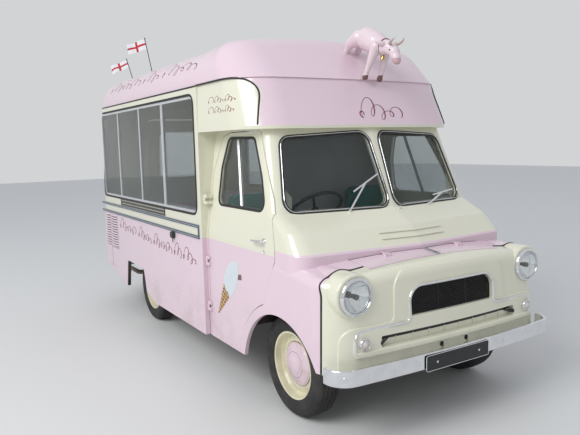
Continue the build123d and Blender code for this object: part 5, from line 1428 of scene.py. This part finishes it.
def buildCow(s):
    def at(x, y, z):
        return Vector((s["x"] + x, s["y"] + y, z))

    mesh = bmesh.new()
    for bar in s["bars"]:
        roundBarInto(mesh, at(*bar[:3]), at(*bar[3:6]), *bar[6:])
    data = bpy.data.meshes.new("cowDraft")
    mesh.to_mesh(data)
    mesh.free()
    draft = bpy.data.objects.new("cowDraft", data)
    bpy.context.scene.collection.objects.link(draft)
    remesh = draft.modifiers.new("skin", "REMESH")
    remesh.mode = "VOXEL"
    remesh.voxel_size = s["voxel"]
    smooth = draft.modifiers.new("soften", "SMOOTH")
    smooth.factor = 0.5
    smooth.iterations = s["soften"]
    shape = bmesh.new()
    shape.from_mesh(bpy.data.meshes.new_from_object(draft.evaluated_get(bpy.context.evaluated_depsgraph_get())))
    bpy.data.objects.remove(draft)
    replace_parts(newPiece("cow", shape, "cowPaint", crease=80), "cow_figure")

    details, horns, dark = bmesh.new(), bmesh.new(), bmesh.new()
    for sign in (-1, 1):
        ear = [at(-0.066 - 0.005 * k, sign * (0.028 + 0.014 * k), 2.318 + 0.004 * k) for k in range(6)]
        tubeInto(details, ear, s["ear"], 12)
        horn = [(-0.038 + 0.0105 * k, sign * (0.020 + 0.011 * k - 0.0012 * k * k), 2.318 + 0.001 * k + 0.0005 * k * k)
                for k in range(8)]
        tubeInto(horns, [at(*place) for place in horn], s["horn"], 14)
        spinInto(dark, s["eye"], at(-0.022, sign * 0.036, 2.278), (0.45, sign, 0.1), 16)
        spinInto(dark, s["nostril"], at(0.029, sign * 0.010, 2.212), (1, sign * 0.3, -0.2), 12)
    tail = [at(-0.395 - 0.012 * k, 0.010 * math.sin(k / 2), 2.440 - 0.018 * k + 0.0012 * k * k) for k in range(9)]
    tubeInto(details, tail, s["tail"], 12)
    newPiece("cowEarsTail", details, "cowPaint", crease=60)
    newPiece("cowHorns", horns, "hornPaint", crease=60)
    newPiece("cowEyesNose", dark, "plateBlack", crease=60)
    turned("cowCollar", s["collar"], at(-0.112, 0, 2.313), (0.93, 0, -0.36), 40, "burgundyPaint",
           closed=True, crease=30)
    turned("cowBell", s["bell"], at(-0.128, 0, 2.262), (0.25, 0, 0.97), 24, "brassBright", crease=40)


buildCow(cow)

flags = {
    "size": (0.190, 0.115),
    "poleY": -0.590,
    # columns: foot of the pole and its tip, along and up
    "poles": ((-1.200, 2.362, -1.400, 2.760), (-1.815, 2.362, -2.035, 2.640)),
    "poleRadius": 0.0043,
    "blown": (-0.55, -0.83, -0.18),
    "wave": 0.011,
    "droop": 0.010,
    "drawnIn": 0.972,  # the ripple takes up the rest of the flat length
    "thick": 0.0006,
    "grid": (26, 15),
    "tip": ((-0.002, 0.0), (-0.002, 0.0050), (0.004, 0.0065), (0.009, 0.0055), (0.014, 0.0030), (0.020, 0.0)),
}


def buildFlag(s, index, footX, footZ, tipX, tipZ):
    # a small cloth flag, rippling away from its pole
    along = Vector((tipX - footX, 0, tipZ - footZ)).normalized()
    across = Vector(s["blown"])
    across = (across - along * across.dot(along)).normalized()
    aside = along.cross(across)
    tip = Vector((tipX, s["poleY"], tipZ))
    corner = tip + across * s["poleRadius"]
    wide, tall = s["size"]
    columns, rows = s["grid"]
    mesh = bmesh.new()
    uv = mesh.loops.layers.uv.new("cloth")
    faces, layers = [], []
    for half in (s["thick"] / 2, -s["thick"] / 2):
        grid = []
        for u in spaced(0, 1, columns):
            row = []
            for v in spaced(0, 1, rows):
                sway = s["wave"] * u ** 0.8 * math.sin(2 * math.pi * (1.25 * u + 0.16 * v) + index * 1.3)
                place = corner + across * wide * u * s["drawnIn"] - along * tall * v + aside * (sway + half)
                row.append((mesh.verts.new(place - Vector((0, 0, s["droop"] * u * u))), (u, v)))
            grid.append(row)
        layers.append(grid)
        faces += [[a[j], a[j + 1], b[j + 1], b[j]] for a, b in zip(grid, grid[1:]) for j in range(rows)]
    front, back = layers
    edge = [(i, 0) for i in range(columns)] + [(columns, j) for j in range(rows)]
    edge += [(i, rows) for i in range(columns, 0, -1)] + [(0, j) for j in range(rows, 0, -1)]
    for (i, j), (k, m) in zip(edge, edge[1:] + edge[:1]):
        faces.append([front[i][j], front[k][m], back[k][m], back[i][j]])
    for corners in faces:
        face = mesh.faces.new([vert for vert, place in corners])
        for loop, (vert, place) in zip(face.loops, corners):
            loop[uv].uv = place
    flag = newPiece(f"flag{index}", mesh, "flagCloth", crease=60)
    turned(f"poleTip{index}", s["tip"], tip, along, 20, "darkPlastic")
    return flag


for index, ends in enumerate(flags["poles"]):
    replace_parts(buildFlag(flags, index, *ends), "flags")
print("roof dressed")


# Cab: two seats, each a plinth, a squab and a leaning back
seats = {
    "y": 0.525,
    "halfWidth": 0.222,
    "rear": 0.565,
    "plinth": (0.145, 0.545, 0.20, 0.205),  # rear end, front end, half width, height
    # columns: middle ahead of the cab's rear and above the foot, half length, half thickness, lean
    "Base": (0.385, 0.289, 0.178, 0.084, 3.0),
    "Back": (0.143, 0.580, 0.226, 0.056, 84.0),
    "cuts": 27,
    "crown": 0.26,
    "pull": 0.030,
    "channel": 0.0045,
    "channels": (-0.45, 0.0, 0.45),
    "channelWidth": 0.035,
    "piping": (0.008, 0.004),
    "pipingLevels": (0.62, -0.62),
}


def cushionPoint(s, corner, halves):
    # from the unit cube to a crowned pad whose sides pull in between the corners
    x, y, z = corner
    size = (x ** 8 + y ** 8 + z ** 8) ** 0.125
    x, y, z = x / size, y / size, z / size
    swell = (1 - x ** 4) * (1 - y ** 4)
    thick = z * (1 - s["crown"] + s["crown"] * swell)
    for row in s["channels"]:
        dip = math.exp(-((y - row) / s["channelWidth"]) ** 2)
        thick -= s["channel"] / halves[2] * dip * max(z, 0.0) * swell
    long = x * (1 - s["pull"] * (1 - y * y) * x * x)
    wide = y * (1 - s["pull"] * (1 - x * x) * y * y)
    return Vector((long * halves[0], wide * halves[1], thick * halves[2]))


def buildCushion(s, name, part, foot, sign):
    ahead, above, halfLong, halfThick, lean = s[part]
    halves = (halfLong, s["halfWidth"], halfThick)
    turn = Matrix.Rotation(math.radians(-lean), 3, "Y")
    middle = Vector((s["rear"] + ahead, sign * s["y"], foot + above))
    mesh = bmesh.new()
    bmesh.ops.create_cube(mesh, size=2.0)
    bmesh.ops.subdivide_edges(mesh, edges=mesh.edges[:], cuts=s["cuts"], use_grid_fill=True)
    for vert in mesh.verts:
        vert.co = middle + turn @ cushionPoint(s, vert.co, halves)
    edge = [k / 10 for k in range(-10, 10)]
    ring = [(1, v) for v in edge] + [(-u, 1) for u in edge] + [(-1, -v) for v in edge] + [(u, -1) for u in edge]
    for level in s["pipingLevels"]:
        line = [middle + turn @ cushionPoint(s, (u, v, level), halves) for u, v in ring]
        sweepInto(mesh, line, [(p - middle).normalized() for p in line], domed(*s["piping"]), True)
    cushion = newPiece(name, mesh, "tealCloth", crease=50)
    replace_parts(cushion, "seats")


def buildSeats(s):
    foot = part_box("seats")[0].z
    for side, sign in sides:
        for part in ("Base", "Back"):
            buildCushion(s, "seat" + part + "_" + side, part, foot, sign)
        near, far, half, tall = s["plinth"]
        mesh = bmesh.new()
        outline = [(near, -half), (far, -half), (far, half), (near, half)]
        flat = [Vector((s["rear"] + x, sign * s["y"] + y, foot)) for x, y in outline]
        prismInto(mesh, flat, [p + Vector((0, 0, tall)) for p in flat])
        bmesh.ops.bevel(mesh, geom=mesh.edges[:], offset=0.008, segments=2, affect="EDGES")
        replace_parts(newPiece("seatPlinth_" + side, mesh, "darkPlastic"), "seats")


buildSeats(seats)
print("seats made")


# Rear: plate, lamp rims, door handle, the crown over the rear wall
rear = {
    "plateZ": 0.700,
    "plateHeight": 0.105,
    "plateOut": 0.006,
    "lean": 0.066,
    "lampY": 0.640,
    "lamps": ((0.760, 0.042), (0.870, 0.032)),  # height and radius
    # the rim's section: ahead of the panel, more than the lamp's radius
    "rim": ((-0.004, 0.008), (0.004, 0.0075), (0.007, 0.004), (0.006, 0.0006), (-0.004, 0.0006)),
    "handle": (0.300, 1.060),
    "stem": ((-0.001, 0.022), (0.004, 0.022), (0.007, 0.012), (0.030, 0.010), (0.036, 0.006), (0.037, 0)),
    "leverOut": 0.028,
    "lever": (0.009, 0.009, 0.009, 0.0085, 0.008, 0.008, 0.0075, 0.007, 0.007, 0.0065, 0.006, 0.003),
}


def buildRear(s):
    door, panel = surfaceOf("rear_door"), surfaceOf("rear_panel", "body_side_right", "body_side_left")
    back, out = (1, 0, 0), Vector((-1, 0, s["lean"]))
    seat = seatAt(door, (-farOut, 0, s["plateZ"]), back)[0]
    place = (seat.x - s["plateOut"], 0, s["plateZ"])
    buildPlate(plate, "rearPlate", "rear_door", place, s["plateHeight"], s["lean"], -1)
    rims = bmesh.new()
    for side, sign in sides:
        for z, radius in s["lamps"]:
            seat = seatAt(panel, (-farOut, sign * (s["lampY"] + radius + 0.006), z), back)[0]
            section = [(along, radius + more) for along, more in s["rim"]]
            spinInto(rims, section, (seat.x, sign * s["lampY"], z), out, 36, True)
    newPiece("tailLampRims", rims, "chrome")
    seat = seatAt(door, (-farOut, *s["handle"]), back)[0]
    mesh = bmesh.new()
    spinInto(mesh, s["stem"], seat, out, 28)
    start = seat + out * s["leverOut"]
    tubeInto(mesh, [start + Vector((0, -0.010 * k, -0.0005 * k)) for k in range(-1, 11)], s["lever"])
    newPiece("rearDoorHandle", mesh, "chrome", "rear_door")


buildRear(rear)

rearCrown = {"x": -2.112, "half": 0.80, "foot": 2.088, "thick": 0.012, "tuck": 0.010}


def buildCrown(s):
    # the panel that closes the curve between the rear wall and the roof
    roof = surfaceOf("roof")
    low, high = [], []
    for y in spaced(-s["half"], s["half"], 40):
        foot = Vector((s["x"], y, s["foot"]))
        point, normal, face, distance = roof.ray_cast(foot, Vector((0, 0, 1)))
        low.append(foot)
        high.append(Vector((s["x"], y, point.z + s["tuck"] if point else s["foot"] + 0.02)))
    mesh = bmesh.new()
    shift = Vector((s["thick"], 0, 0))
    for k in range(40):
        corners = [low[k], low[k + 1], high[k + 1], high[k]]
        prismInto(mesh, corners, [p + shift for p in corners])
    bmesh.ops.remove_doubles(mesh, verts=mesh.verts[:], dist=0.0001)
    inner = [f for f in mesh.faces if abs(f.normal.y) > 0.9 and abs(f.calc_center_median().y) < s["half"] - 0.01]
    bmesh.ops.delete(mesh, geom=inner, context="FACES_ONLY")
    newPiece("rearCrown", mesh, "creamPaint")


buildCrown(rearCrown)

screenWasher = {
    "place": (1.645, 0.036, 1.242),
    "nozzle": ((-0.001, 0.011), (0.004, 0.011), (0.007, 0.008), (0.016, 0.007), (0.019, 0.004), (0.020, 0)),
}


def buildWasher(s):
    # the small nozzle under the screens
    point, normal, face, distance = cabSkin.find_nearest(Vector(s["place"]))
    turned("screenWasher", s["nozzle"], point, normal if normal.z > 0 else -normal, 24, "chrome")


buildWasher(screenWasher)
print("rear trimmed")


# Floor and light
studio = {
    "floorSize": 60.0,
    "floorColour": (0.74, 0.74, 0.72),
    "background": (0.86, 0.87, 0.88),
    "sky": ((0.48, (0.50, 0.50, 0.50, 1)), (0.75, (0.80, 0.84, 0.92, 1))),
    "skyStrength": 0.75,
    "keyPlace": (3.0, -9.0, 8.0),
    "keyAim": (0.6, 0, 1.0),
    "keySize": 6.0,
    "keyPower": 700.0,
}


def buildStudio(s):
    mesh = bpy.data.meshes.new("floor")
    half = s["floorSize"] / 2
    mesh.from_pydata([(-half, -half, 0), (half, -half, 0), (half, half, 0), (-half, half, 0)], [], [(0, 1, 2, 3)])
    floor = bpy.data.objects.new("floor", mesh)
    bpy.context.scene.collection.objects.link(floor)
    newMaterial("floorPaint", Roughness=0.8, Base_Color=(*s["floorColour"], 1))
    mesh.materials.append(finishes["floorPaint"])

    world = bpy.context.scene.world = bpy.data.worlds.new("studio")
    world.use_nodes = True
    tree = world.node_tree
    background = tree.nodes["Background"].inputs
    ramp = addNode(tree, "ShaderNodeValToRGB")
    for element, (place, colour) in zip(ramp.color_ramp.elements, s["sky"]):
        element.position, element.color = place, colour
    height = mathNode(tree, "MULTIPLY_ADD", splitPlace(tree, "Generated")["Z"], 0.5, 0.5)
    tree.links.new(height, ramp.inputs[0])
    rays = addNode(tree, "ShaderNodeLightPath").outputs
    plain = mathNode(tree, "MAXIMUM", rays["Is Camera Ray"], rays["Is Transmission Ray"])
    plain = mathNode(tree, "MAXIMUM", plain, rays["Is Glossy Ray"])
    tree.links.new(mixColour(tree, plain, ramp.outputs[0], s["background"]), background["Color"])
    background["Strength"].default_value = s["skyStrength"]

    key = bpy.data.lights.new("key", "AREA")
    key.size = s["keySize"]
    key.energy = s["keyPower"]
    lamp = bpy.data.objects.new("key", key)
    bpy.context.scene.collection.objects.link(lamp)
    lamp.location = s["keyPlace"]
    lamp.rotation_euler = (Vector(s["keyAim"]) - lamp.location).to_track_quat("-Z", "Y").to_euler()


buildStudio(studio)
bpy.context.scene.view_settings.view_transform = "Standard"
print("studio set")
